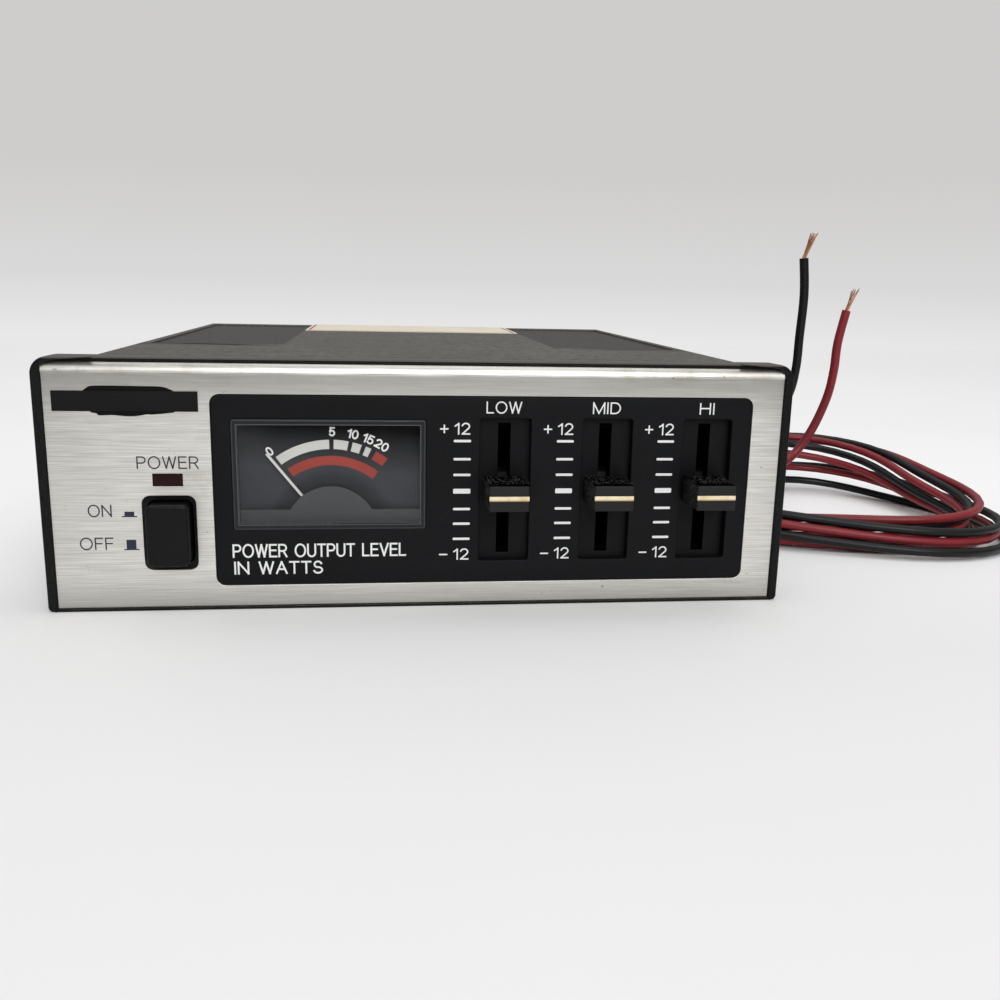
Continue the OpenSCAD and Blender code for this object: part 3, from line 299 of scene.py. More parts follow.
def bumped(height, depth, strength=1.0):
    """Normal of a surface that a height from 0 to 1 lifts by a depth in metres."""
    return put(height.id_data, "Bump", {"Strength": strength, "Distance": depth, "Height": height}).outputs[0]


def effect(name, inputs, *outputs):
    """Shader node group with number sockets, for an effect that several finishes share."""
    tree = bpy.data.node_groups.new(name, "ShaderNodeTree")
    for key, value in inputs.items():
        tree.interface.new_socket(key, in_out="INPUT", socket_type="NodeSocketFloat").default_value = value
    for key in outputs:
        tree.interface.new_socket(key, in_out="OUTPUT", socket_type="NodeSocketFloat")
    return tree, tree.nodes.new("NodeGroupInput").outputs, tree.nodes.new("NodeGroupOutput").inputs


def place(tree, group, into):
    """Outputs of an effect placed in a finish, with its own values."""
    return put(tree, "Group", into, node_tree=group).outputs


# grain of a moulded or painted skin: a fine height and a slow change of tone
grain, into, out = effect("grain", {"Scale": 3000.0, "Slow": 60.0}, "Height", "Tone")
grain.links.new(noise(grain, into["Scale"], 3, 0.6), out["Height"])
grain.links.new(noise(grain, into["Slow"], 5, 0.6), out["Tone"])

# dust that lies on what faces up: specks and a thin film
dust, into, out = effect("dust", {"Amount": 0.5, "Scale": 3500.0}, "Mask")
facing = put(dust, "NewGeometry", {}).outputs["Normal"]
upward = spread(put(dust, "SeparateXYZ", {0: facing}).outputs[2], 0.1, 0.9, 0.15, 1)
specks, patches = noise(dust, into["Scale"]), noise(dust, 180, 3)
lying = times(spread(specks, 0.5, 0.72), spread(patches, 0.3, 0.7, 0.3, 1))
dust.links.new(times(times(lying, upward), into["Amount"]), out["Mask"])


def finish(name, **sockets):
    """New material and its node tree, with plain numbers set on the shader's own sockets."""
    made = bpy.data.materials.new(name)
    made.use_nodes = True
    shader = made.node_tree.nodes["Principled BSDF"]
    for key, value in sockets.items():
        shader.inputs[key.replace("_", " ")].default_value = value
    return made, made.node_tree


def feed(**values):
    """Links outputs to the sockets of their finish's shader."""
    for key, value in values.items():
        tree = value.id_data
        tree.links.new(value, tree.nodes["Principled BSDF"].inputs[key.replace("_", " ")])


def recolour(mask, colour):
    """Lays another colour over what a finish has, where a mask is 1."""
    before = mask.id_data.nodes["Principled BSDF"].inputs["Base Color"].links[0].from_socket
    feed(Base_Color=tint(mask, before, colour))


def see_through(mask):
    """Lets sight pass through a finish where a mask is 1."""
    tree = mask.id_data
    clear = put(tree, "BsdfTransparent", {}).outputs[0]
    mixed = put(tree, "MixShader", {0: mask, 1: tree.nodes["Principled BSDF"].outputs[0], 2: clear})
    tree.links.new(mixed.outputs[0], tree.nodes["Material Output"].inputs["Surface"])


def moulded(name, colour, roughness, scale=3000.0, depth=20e-6, dusty=0.3, lint="#6f6c66", change=0.25,
            **sockets):
    """Moulded, painted or dipped skin: its tone drifts slowly by a change, a fine grain stands up by a depth in
    metres, and dust lies on what faces up."""
    made, tree = finish(name, **{"Specular_IOR_Level": 0.3, **sockets})
    skin_grain = place(tree, grain, {"Scale": scale})
    low, high = (tuple(min(c * (1 + s * change), 1) for c in paint(colour)[:3]) + (1,) for s in (-1, 1))
    tone = tint(spread(skin_grain["Tone"], 0.3, 0.7), low, high)
    lying = place(tree, dust, {"Amount": dusty})["Mask"]
    feed(Base_Color=tint(lying, tone, lint), Normal=bumped(skin_grain["Height"], depth),
         Roughness=spread(skin_grain["Tone"], 0.3, 0.7, roughness - 0.06, roughness + 0.06))
    return made


def give(material, *held):
    """Gives a finish to solids that are shown as they are."""
    for node in held:
        nodes[node].material_slots[0].material = material


def carried(piece, material, node):
    """A piece with a finish rides on the body of a solid."""
    piece.data.materials.append(material)
    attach(piece, nodes[node]["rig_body"])


def stand_for(piece, material, *covered):
    """Puts a piece with a finish in place of its solids: it rides on their body, and the solids are hidden."""
    carried(piece, material, covered[0])
    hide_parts(*covered)


copper = moulded("bare_copper", "#cf9c78", 0.36, 9000, 4e-6, 0, change=0.35, Metallic=1)
lead_skins = (
    moulded("black_vinyl", "#07080a", 0.38, 1500, 12e-6, 0.08, change=0.3, Specular_IOR_Level=0.28),
    moulded("red_vinyl", "#7a2026", 0.36, 1500, 12e-6, 0.15, lint="#a98078", change=0.25),
)
for lane, (colour, length, strands) in enumerate((("black", 1.21, 16), ("red", 1.21, 10))):
    route = lead_route(lane)
    lead = skin(f"{colour}_lead", hose(route, lead_d / 2000, 12))
    stand_for(lead, lead_skins[lane], *(f"{colour}_lead_{part}" for part in ("tail", "hank", "end")))

    # each strand runs from the cut to the tip, turns a little and fans out with the square of its way
    draw = np.random.default_rng(7 + lane)
    foot, tip = from_face(lead_ends[lane][-1]), from_face(lead_tips[lane])
    u = np.linspace(-0.06, 1, 9)[:, None]
    wires = []
    for k in range(strands):
        ring = core_r if k else 0.0
        fan = ring + (0.0003 + 0.0006 * draw.random()) * u ** 2
        turn = 2 * np.pi * k / strands + (0.9 + 0.4 * draw.random()) * u
        reach = 0.82 + 0.18 * draw.random()
        line = foot + (tip - foot) * u * reach + fan * np.hstack([np.cos(turn), np.sin(turn), 0 * turn])
        wires.append(hose(line, strand_r, 5))
    brush = skin(f"{colour}_strands", *wires)
    stand_for(brush, copper, f"{colour}_lead_tip")

# Steel case
# A base tray with a rear panel and a cover bent over both long edges, of 1 mm steel, painted a dull charcoal.
# Two recesses are stamped in the top, which has one crease, drawn only as a painted shadow line; screws hold
# the cover at the frame and at the rear.
case_gloss = 0.3
case_paint, tree = finish("case_paint", Specular_IOR_Level=case_gloss, Roughness=0.6)
speckle = place(tree, grain, {"Scale": 680, "Slow": 35})
x, y, z = axes(tree)
on_top, sunk = spread(z, 0.0492, 0.0495), between(z, 0.0492, 0.0495, 0.04995, 0.05035)
far_out = spread(calc("ABSOLUTE", x), 0.033, 0.045)
stamped = times(between(y, -0.034, -0.0259, -0.0258, -0.0254), on_top)
coat = tint(spread(speckle["Height"], 0.25, 0.75), "#34322f", "#716d66")
drift = tint(times(spread(speckle["Tone"], 0.35, 0.65), 0.5), coat, "#4b4946")
# painted shade: the recess floors, and a strip of the top in front of each recess, are tinted dark where shade
# falls at the steps
shade = larger(times(sunk, 0.6), times(stamped, times(far_out, 0.9)))
# painted shadow: a dark tapered line across the left of the top, without sheen, stands for the shadow of the
# crease
crease_middle, crease_slope = (-0.0455, -0.0287), 0.18
slant = calc("MULTIPLY_ADD", x, crease_slope, y)
off_crease = off(slant, crease_middle[1] + crease_slope * crease_middle[0])
tapered = times(between(x, -0.061, -0.052, -0.042, -0.031), on_top)
crease_shadow = times(spread(off_crease, 0.0006, 0.0018, 0.9, 0), tapered)
feed(Base_Color=tint(crease_shadow, tint(shade, drift, "#1b1b1b"), "#050505"),
     Specular_IOR_Level=spread(crease_shadow, 0, 1, case_gloss, 0),
     Normal=bumped(speckle["Height"], 0.0001))


def dressed(node, name, edge, where):
    """Copy of a solid with its corners broken: its points are merged, its flat faces joined and split into convex
    ones, and each sharp edge whose middle passes the where test is rounded off over edge millimetres."""
    work = bmesh.new()
    work.from_mesh(nodes[node].data)
    bmesh.ops.remove_doubles(work, verts=work.verts, dist=1e-6)
    bmesh.ops.dissolve_limit(work, angle_limit=0.005, verts=work.verts, edges=work.edges)
    bmesh.ops.connect_verts_concave(work, faces=work.faces)
    mesh = bpy.data.meshes.new(name)
    work.to_mesh(mesh)
    work.free()
    if "custom_normal" in mesh.attributes:
        mesh.attributes.remove(mesh.attributes["custom_normal"])
    mesh.shade_smooth()
    mesh.set_sharp_from_angle(angle=math.radians(30))
    ends = np.empty(2 * len(mesh.edges), int)
    mesh.edges.foreach_get("vertices", ends)
    places = np.empty(3 * len(mesh.vertices))
    mesh.vertices.foreach_get("co", places)
    middle = (places.reshape(-1, 3) - (0, face_y, 0))[ends.reshape(-1, 2)].mean(axis=1) * 1000
    sharp = np.empty(len(mesh.edges), bool)
    mesh.attributes["sharp_edge"].data.foreach_get("value", sharp)
    weight = sharp & where(*middle.T)
    mesh.attributes.new("bevel_weight_edge", "FLOAT", "EDGE").data.foreach_set("value", weight.astype(float))
    mesh.materials.clear()
    piece = bpy.data.objects.new(name, mesh)
    scene.collection.objects.link(piece)
    soften = piece.modifiers.new("soften", "BEVEL")
    soften.limit_method = "WEIGHT"
    soften.width = edge / 1000
    soften.segments = 3
    soften.use_clamp_overlap = False
    soften.harden_normals = True
    return piece


tray_front, tray_rear, tray_floor, tray_side, tray_top = 7, 138.9, 0.5, 62.5, 47.5
tray = dressed("chassis", "base_tray", 0.2, lambda x, y, z: ((y > tray_rear) | (z < tray_floor)) & (
    (abs(x) > tray_side) | (z > tray_top) | (z < tray_floor) & ((y < tray_front) | (y > tray_rear))))
stand_for(tray, case_paint, "chassis")
cover_front, cover_rear, cover_foot, cover_side, cover_top = 6.6, 139.4, 1.2, 64.5, 48.95
cover = dressed("top_cover", "case_cover", 0.25, lambda x, y, z: (z > cover_top) | (abs(x) > cover_side) & (
    (y < cover_front) | (y > cover_rear) | (z < cover_foot)))
stand_for(cover, case_paint, "top_cover")

# Bracket nuts
# Four zinc-plated hexagon nuts staked inside the cover's sides, for the bolts of a hanging bracket.
zinc = moulded("zinc", "#b4b4ae", 0.36, 5000, 6e-6, 0, change=0.12, Metallic=1)
give(zinc, "bracket_nuts")

# Label
# A blank paper label glued to the rear of the top, cream with a thin brown-red rule near its edge.
label_paper, tree = finish("label_paper", Roughness=0.62)
label_low, label_high = (np.array(corner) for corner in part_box("top_label"))
from_edge = inset(axes(tree)[:2], (label_low + label_high) / 2, (label_high - label_low) / 2)
rule = between(from_edge, 0.0007, 0.0008, 0.0013, 0.0014)
paper = place(tree, grain, {"Scale": 2500, "Slow": 90})
aged = tint(spread(paper["Tone"], 0.35, 0.7), "#e8ddcc", "#dfd2bd")
feed(Base_Color=tint(rule, aged, "#8a4a3c"), Normal=bumped(paper["Height"], 20e-6, 0.6))
give(label_paper, "top_label")

# Grommets
# Two soft rubber grommets in the rear panel: one for the supply leads, one with four bores for the speakers.
rubber = moulded("grommet_rubber", "#151516", 0.62, 2200, 20e-6, 0.3)
collar_y = 141.5
for node in ("lead_grommet", "speaker_grommet"):
    (left, _, low), (right, _, high) = 1000 * np.array(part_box(node))
    ring = dressed(node, f"{node}_ring", 0.5, lambda x, y, z: (y > collar_y) & (
        np.hypot(x - (left + right) / 2, z - (low + high) / 2) > 0.4 * (right - left)))
    stand_for(ring, rubber, node)

# Screws
# Blackened cross-head screws: two in each side of the cover and two through the rear panel. The inner screws
# are zinc plated.
screw_black = moulded("blackened_steel", "#2c2c2e", 0.4, 6000, 6e-6, 0.15, change=0.3, Metallic=0.8)
# seat, way out, radius and height of the head, and length of the shank
screws = [((side * 65, y, z), (side, 0, 0), 2.8, 1.6, 6.0)
          for side in (-1, 1) for y, z in ((10, 44.23), (134, 10))]
screws += [((x, 140, 28), (0, 1, 0), 2.0, 1.5, 3.6) for x in (-32, 16)]


def cross_head(seat, axis, radius, height, shank):
    """Pan head over a shank. A point is a ring's radius along an angle, at a height: the head is a flat dome
    that rolls over at its rim, sunk along two crossed bars by a depth that fades out from the middle."""
    u = np.linspace(0, 1, 22)[:, None]
    a = np.linspace(0, 2 * np.pi, 64, endpoint=False)[None, :]
    r = radius * np.sin(np.pi / 2 * u) * np.ones_like(a)
    dome = height * (0.72 * np.clip(1 - u ** 6, 0, 1) ** 0.5 + 0.28 * (1 - u ** 2)) * np.ones_like(a)
    bar = np.minimum(abs(r * np.cos(a)), abs(r * np.sin(a))) / radius
    cut = np.clip((0.19 - bar) / 0.07, 0, 1) * np.clip((0.62 - r / radius) / 0.12, 0, 1)
    top = np.stack([r * np.cos(a), r * np.sin(a), dome - 0.55 * height * cut * (1 - 0.4 * r / radius)], axis=-1)
    neck = 0.47 * radius
    below = np.array([[radius, 0], [neck, 0], [neck, -shank]])
    ring = np.concatenate([np.cos(a), np.sin(a), 0 * a]).T
    under = below[:, :1, None] * ring[None] + below[:, 1:, None] * np.array([0, 0, 1])
    local = np.concatenate([top[1:], under])
    across = np.cross(axis, (0, 0, 1.0))
    turned = local @ np.stack([across, np.cross(axis, across), np.array(axis, float)])
    return from_face(turned + seat)


heads = skin("case_screws", *(cross_head(*screw) for screw in screws))
stand_for(heads, screw_black, "cover_screws")
give(zinc, "front_screws", "board_screws")

# Inner pieces
# Brown paper-laminate boards on brass standoffs, with blue cans, a copper choke, two output chips on an aluminium
# bracket and a grey ribbon; behind the face the switch, the slide controls and the meter's movement.
give(moulded("laminate", "#6d5a31", 0.5, 1800, 10e-6, 0), "main_board", "front_board", "led_board")
give(moulded("brass", "#c6a048", 0.3, 4000, 5e-6, 0, Metallic=1), "board_standoffs")
give(moulded("ribbon_jacket", "#a7a7ab", 0.5, 1500, 20e-6, 0), "ribbon_cable")
give(moulded("can_sleeve", "#2c3d60", 0.35, 1500, 10e-6, 0), "filter_capacitors")
give(moulded("choke_winding", "#9a5526", 0.35, 2600, 60e-6, 0, Metallic=0.7), "supply_choke")
give(moulded("chip_resin", "#232325", 0.55, 4000, 10e-6, 0), "output_chips")
give(moulded("bracket_metal", "#b8bbbe", 0.38, 3000, 10e-6, 0, Metallic=1), "heat_bracket")
give(moulded("switch_resin", "#2f2f2e", 0.5, 3500, 10e-6, 0), "switch_body")
give(moulded("plunger_nylon", "#d8d5ca", 0.45, 3000, 10e-6, 0), "switch_plunger")
give(moulded("strap_zinc", "#8f8f8b", 0.4, 4000, 10e-6, 0, Metallic=0.9), "meter_strap")
give(moulded("pot_can", "#020202", 0.8, 4000, 10e-6, 0, Specular_IOR_Level=0.02),
     "slide_pot_low", "slide_pot_mid", "slide_pot_hi")
give(moulded("lever_steel", "#3a3a39", 0.42, 4000, 10e-6, 0, Metallic=0.8),
     "slider_lever_low", "slider_lever_mid", "slider_lever_hi")
give(moulded("meter_resin", "#252527", 0.5, 3500, 10e-6, 0), "meter_case", "meter_back")
give(moulded("magnet_ferrite", "#4a4a4d", 0.5, 5000, 20e-6, 0, Metallic=0.4), "meter_magnet")
give(moulded("coil_winding", "#b06c38", 0.35, 7000, 30e-6, 0, Metallic=0.8), "meter_coil")

# Front frame
# One black moulding round the face plate: narrow cheeks with rounded outer edges, a thin lip below, and a wall
# behind that carries the panel, the switch and the front of the cover. Dust lies thick on what faces up, and
# partly stands in for light there; its top is tinted light grey as a painted highlight.
frame_plastic = moulded("frame_plastic", "#090a0c", 0.4, 2400, 10e-6, 0.9, lint="#77756f", change=0.2,
                        Specular_IOR_Level=0.14)
tree = frame_plastic.node_tree
# painted highlight: the top face is tinted light grey where light from above falls on it
recolour(spread(axes(tree)[2], 0.04998, 0.05008), "#56534e")


def rings(*rows, steps=6):
    """Rings of a bar with round corners, one for each row: its place along Y, its left, right, lower and upper
    side, and its corner radii from the upper right round by the left. A ring is four quarter circles."""
    rows = np.vstack(rows)
    a = np.radians(np.concatenate([np.linspace(0, 90, steps) + 90 * k for k in range(4)]))
    corner = np.repeat(np.arange(4), steps)
    y, left, right, low, high = rows[:, :5].T[..., None]
    r = np.maximum(rows[:, 5:][:, corner], 0.02)
    x = np.where((corner == 0) | (corner == 3), right - r, left + r) + r * np.cos(a)
    z = np.where(corner < 2, high - r, low + r) + r * np.sin(a)
    return spots(x, y, z)


def edge(y, sides, corners, soft=0.0, way=1, grow=-1):
    """Rows of one edge at a place along Y, rounded over soft millimetres by a quarter circle. The bar goes on
    backwards where way is 1; a bar shrinks at its edge, grow -1, and a hole widens, grow 1."""
    t = np.radians(np.linspace(0, 90, 6 if soft else 1))[::way]
    step = grow * soft * (1 - np.sin(t))[:, None]
    return np.hstack([y + way * soft * (1 - np.cos(t))[:, None], np.array(sides) + step * (-1, 1, -1, 1),
                      np.broadcast_to(corners, (len(t), 4)) + step])


def block(front, back, sides, corners, soft=0.0, grow=-1):
    """Rings of a bar or a hole from front to back, with a rounded front edge."""
    return rings(edge(front, sides, corners, soft, grow=grow), edge(back, sides, corners))


frame_sides, frame_corners = (-75, 75, 0, 50.4), (3.4, 3.4, 1, 1)
wall_front, wall_back, pocket_floor = 1, 6, 2.05
pocket, window = (-43.4, 67.8, 3.9, 44.5), (-40.4, 63.9, 8.2, 40.4)
cap_hole, lamp_hole = (-55.25, -46.55, 9.45, 22.35), (-53.75, -48.05, 25.35, 27.85)
wall = (
    rings(edge(wall_front, frame_sides, frame_corners, 0.3),
          edge(wall_back, frame_sides, frame_corners, 0.2, -1)),
    rings(edge(wall_front, pocket, 2.9), edge(pocket_floor, pocket, 2.9), edge(pocket_floor, window, 1),
          edge(wall_back, window, 1)),
    block(wall_front, wall_back, cap_hole, 1.5, 0.15, 1),
    block(wall_front, wall_back, lamp_hole, 0.1),
)
cheek_front, cheek_back = -0.5, 1.2


def cheek(side):
    """Upright at one end, drawn backwards: its outline runs up the outside, round the upper corner to a thin tip,
    back over the corner of the plate and down the inside. Its front edge is rounded by moving points in along
    their normals, less so towards the tip."""
    a = np.radians(np.linspace(180, 90, 10))
    turn = np.stack([np.cos(a), np.sin(a)], axis=-1)
    foot = (-74, 1) + np.stack([np.cos(a + np.pi / 2), np.sin(a + np.pi / 2)], axis=-1)
    line = np.vstack([foot, (-71.6, 47) + 3.4 * turn, [(-64, 50.38)], (-69.5, 48.2) + (3.7, 1.6) * turn[::-1],
                      [(-73.2, 0)]])
    way = np.roll(line, -1, axis=0) - np.roll(line, 1, axis=0)
    inward = np.stack([way[:, 1], -way[:, 0]], axis=-1) / np.linalg.norm(way, axis=1, keepdims=True)
    t = np.radians(np.append(np.linspace(0, 90, 6), 90))[:, None]
    room = 0.4 * np.clip((-66 - line[:, :1]) / 6, 0, 1)
    x, z = np.moveaxis(line + room * (1 - np.sin(t))[..., None] * inward, -1, 0)
    y = np.append(cheek_front + 0.4 * (1 - np.cos(t[:-1, 0])), cheek_back)[:, None]
    return spots(-side * x, y, z)


surround = skin("front_surround", wall, cheek(-1), cheek(1),
                block(cheek_front, cheek_back, (-73.3, 73.3, 0, 0.6), 0.1, 0.2))
stand_for(surround, frame_plastic, "front_frame")

# Face plate
# Aluminium sheet with a rolled top edge, brushed along its length and lacquered, with openings for the panel,
# the button and the lamp. Age shows as faint scratches, specks, and brown film by the panel and lamp.
brushed, tree = finish("brushed_aluminium", Metallic=0.92)
lines = []
for along, across in ((140.0, 9000.0), (85.0, 5000.0)):
    drawn = put(tree, "Mapping", {"Vector": spot(tree), "Scale": (along, across, across)}).outputs[0]
    lines.append(put(tree, "TexNoise", {"Vector": drawn, "Scale": 1, "Detail": 2}).outputs[0])
streak = calc("ADD", *lines)
silver = tint(spread(streak, 0.7, 1.3), "#c6c4be", "#eceae4")
grime, specks = noise(tree, 90, 6, 0.7), noise(tree, 1100, 1)
flecks = times(spread(specks, 0.74, 0.78), spread(grime, 0.5, 0.62))
x, _, z = axes(tree)
by_lamp, by_top = ((-0.0455, 0.0255), 0.006), (0.0482, 0.004)
at_lamp = [spread(off(*at), 0, by_lamp[1], 1, 0) for at in zip((x, z), by_lamp[0])]
lamp_film = times(times(*at_lamp), spread(grime, 0.42, 0.7))
at_top = spread(off(z, by_top[0]), 0, by_top[1], 1, 0)
top_film = times(at_top, spread(grime, 0.52, 0.72))
browned = tint(times(larger(lamp_film, top_film), 0.6), silver, "#8f7d5e")
speckled = tint(times(flecks, 0.75), browned, "#4b463c")
# painted shade: the plate is tinted grey towards its foot, in a band under the roll and over the roll's top, for
# the dim reflections there
foot_shade = spread(z, 0.001, 0.007, 1, 0)
roll_shade = between(z, 0.0385, 0.0455, 0.0472, 0.0476)
roll_top_shade = spread(z, 0.0476, 0.0484, 0, 0.5)
shade = larger(times(larger(foot_shade, roll_shade), 0.7), roll_top_shade)
feed(Base_Color=tint(shade, speckled, "#a6a49e"), Normal=bumped(streak, 12e-6, 0.5),
     Roughness=spread(streak, 0.7, 1.3, 0.3, 0.46))
plate_t, plate_edge, plate_half, roll_r = 1, 0.1, 73.15, 2.4
panel_opening, cap_opening = (-42.4, 66.8, 4.9, 43.5), (-56.05, -45.75, 8.35, 23.45)
flat = (
    block(0, plate_t, (-plate_half, plate_half, 0.62, 47.5), 0.15, plate_edge),
    *(block(0, plate_t, hole, r, plate_edge, 1)
      for hole, r in ((panel_opening, 1.9), (cap_opening, 1.6), (lamp_hole, 0.15))),
)
t = np.radians(np.linspace(0, 90, 25))
arc = np.stack([-np.cos(t), np.sin(t)], axis=-1)
section = np.vstack([roll_r * arc, (roll_r - plate_t) * arc[::-1]]) + (roll_r, 47.4)
x = np.array([-plate_half, plate_half])[:, None]
plate = skin("brushed_plate", flat, spots(x, *section.T))
stand_for(plate, brushed, "face_plate")

# Name strip
# A black anodised strip at the upper left of the plate, left bare.
strip_black = moulded("strip_black", "#111112", 0.5, 3000, 8e-6, 0.1, Specular_IOR_Level=0.12)
strip_sides = (-71.5, -44.5, 40.05, 43.95)
strip = skin("bare_strip", block(-0.3, 0, strip_sides, 0.1, 0.08))
stand_for(strip, strip_black, "badge_strip")

# Paint patch
# Black paint brushed on the plate round the strip by hand, with ragged edges.
patch_paint = moulded("patch_paint", "#060607", 0.5, 2600, 20e-6, 0, Specular_IOR_Level=0.12)
patch_line = np.array((
    (-65.9, 43.8), (-65, 44.5), (-63.9, 44.9), (-60, 44.95), (-55, 44.9), (-51.5, 44.85), (-50, 44.5),
    (-48.8, 43.7), (-48.7, 41.9), (-48.8, 40.1), (-50, 39.75), (-53, 39.45), (-54.2, 39.45), (-56, 39.15),
    (-58, 39.1), (-60.5, 39.3), (-62.9, 39.25), (-63.4, 39.6), (-64.6, 40), (-65.6, 41.9)))
ragged = through(np.insert(patch_line, 1, 0, axis=1), 8)[:-1]
patch = skin("paint_patch", from_face(np.stack([ragged - (0, 0.03, 0), ragged + (0, 0.02, 0)])))
carried(patch, patch_paint, "face_plate")

# Control panel
# A black satin moulding set into the plate, with a window for the meter and three wells for the sliders.
panel_gloss = 0.15
panel_plastic = moulded("panel_plastic", "#090a0d", 0.5, 3200, 12e-6, 0.15, change=0.2,
                        Specular_IOR_Level=panel_gloss)
tree = panel_plastic.node_tree
# painted shade: deep in the slots the panel is tinted near black and loses its sheen
slot_shade = spread(axes(tree)[1], -0.06445, -0.0643)
recolour(slot_shade, "#010101")
feed(Specular_IOR_Level=spread(slot_shade, 0, 1, panel_gloss, 0))
panel_front, panel_back, flange_front = 0.25, 2, 1
panel_sides, flange, lens_hole = (-42.3, 66.7, 5, 43.4), (-43.3, 67.7, 4, 44.4), (-38.7, -0.5, 16.3, 38.7)
slider_middles, slider_height = (15.5, 36.5, 57.5), 24.2
well_room, well_slot, well_outside = (10.4, 29.6), (2.5, 27.2), (12.2, 31.4)
well_floor, well_back = 2.45, 3.35


def upright(x, wide, tall):
    """Sides of an upright oblong at the middle height of the sliders."""
    return (x - wide / 2, x + wide / 2, slider_height - tall / 2, slider_height + tall / 2)


def well(x):
    """Hole of one slider: its front edge, wall, floor, slot and the outside of its wall behind the panel."""
    room, slot, outside = (upright(x, *size) for size in (well_room, well_slot, well_outside))
    return rings(edge(panel_front, room, 0.6, 0.2, grow=1), edge(well_floor, room, 0.6),
                 edge(well_floor, slot, 0.1, 0.12, grow=1), edge(well_back, slot, 0.1),
                 edge(well_back, outside, 1), edge(panel_back, outside, 1))


panel = skin("black_panel", (
    rings(edge(panel_front, panel_sides, 1.8, 0.2), edge(flange_front, panel_sides, 1.8),
          edge(flange_front, flange, 2.8), edge(panel_back, flange, 2.8)),
    block(panel_front, panel_back, lens_hole, 0.6, 0.12, 1),
    *(well(x) for x in slider_middles)))
stand_for(panel, panel_plastic, "control_panel")

# Level meter
# A moving-coil meter behind a clear acrylic lid: a dark dial with a white and a red band and watt numbers, a
# white needle, and a grey mask over the pivot.
pivot = np.array((-19.6, 15.2))
dial_front, print_t = 4.65, 0.02
red_ring, white_ring, number_r = (13.5, 15.4), (16.8, 18.7), 20.35
dial_finish, tree = finish("dial_grey", Roughness=0.55, Specular_IOR_Level=0.1)
x, _, z = axes(tree)
# painted shade: the dial is tinted dark towards its top and left, and in a ring round the mask where the mask
# shades it
height = calc("MULTIPLY_ADD", x, 0.07, z)
dial_shade = times(spread(height, 0.0262, 0.0352), spread(x, -0.0385, -0.031, 0.6, 1))
dull = tint(dial_shade, tint(noise(tree, 120), "#424347", "#46474a"), "#0a0a0b")
hub = {0: spot(tree), 1: from_face((pivot[0], dial_front, pivot[1]))}
from_hub = put(tree, "VectorMath", hub, operation="DISTANCE").outputs["Value"]
feed(Base_Color=tint(spread(from_hub, 0.0112, 0.0133, 0.3, 0), dull, "#0d0d0f"))
give(dial_finish, "meter_dial")
give(moulded("mask_grey", "#47484b", 0.5, 3000, 6e-6, 0, change=0.08), "meter_mask")
give(moulded("needle_white", "#d2d2ce", 0.4, 4000, 3e-6, 0, change=0.04), "meter_needle")


def band(inner, outer, start, stop):
    """Printed arc on the dial: a thin oblong section carried round the pivot from one angle to another."""
    a = np.radians(np.linspace(start, stop, max(4, int(abs(stop - start)))))[:, None]
    r = np.array([inner, outer, outer, inner])[None, :]
    y = np.array([0, 0, 1, 1])[None, :] * 1.5 * print_t + dial_front - print_t
    return spots(pivot[0] + r * np.sin(a), y, pivot[1] + r * np.cos(a))


def ink(name, colour, change):
    """Screen ink: matt, nearly smooth and free of dust."""
    return moulded(name, colour, 0.5, 4000, 3e-6, 0, change=change)


white_ink = ink("white_ink", "#cbccc7", 0.06)
number_ink = ink("number_ink", "#ecece8", 0.05)
red_ink = ink("red_ink", "#973f35", 0.1)
white_bands = skin("dial_white", *(band(*white_ring, *reach) for reach in (
    (-36, -0.97), (1.9, 11.15), (13.72, 19.56), (22.26, 25.97))))
red_bands = skin("dial_red", band(*red_ring, -34.5, 38.2), band(*white_ring, 29.1, 37.71))


def bow(x, z, wide, tall, start, stop):
    """Arc of an ellipse about a middle, as points."""
    a = np.radians(np.linspace(start, stop, 3 + int(abs(stop - start) / 10)))
    return np.stack([x + wide * np.cos(a), z + tall * np.sin(a)], axis=-1)


def bowl(x, low, high, wide):
    """Stroke of a letter's bowl: out along its top, round by half an ellipse, and back along its foot."""
    return np.vstack([[(0, high)], bow(x, (low + high) / 2, wide, (high - low) / 2, 90, -90), [(0, low)]])


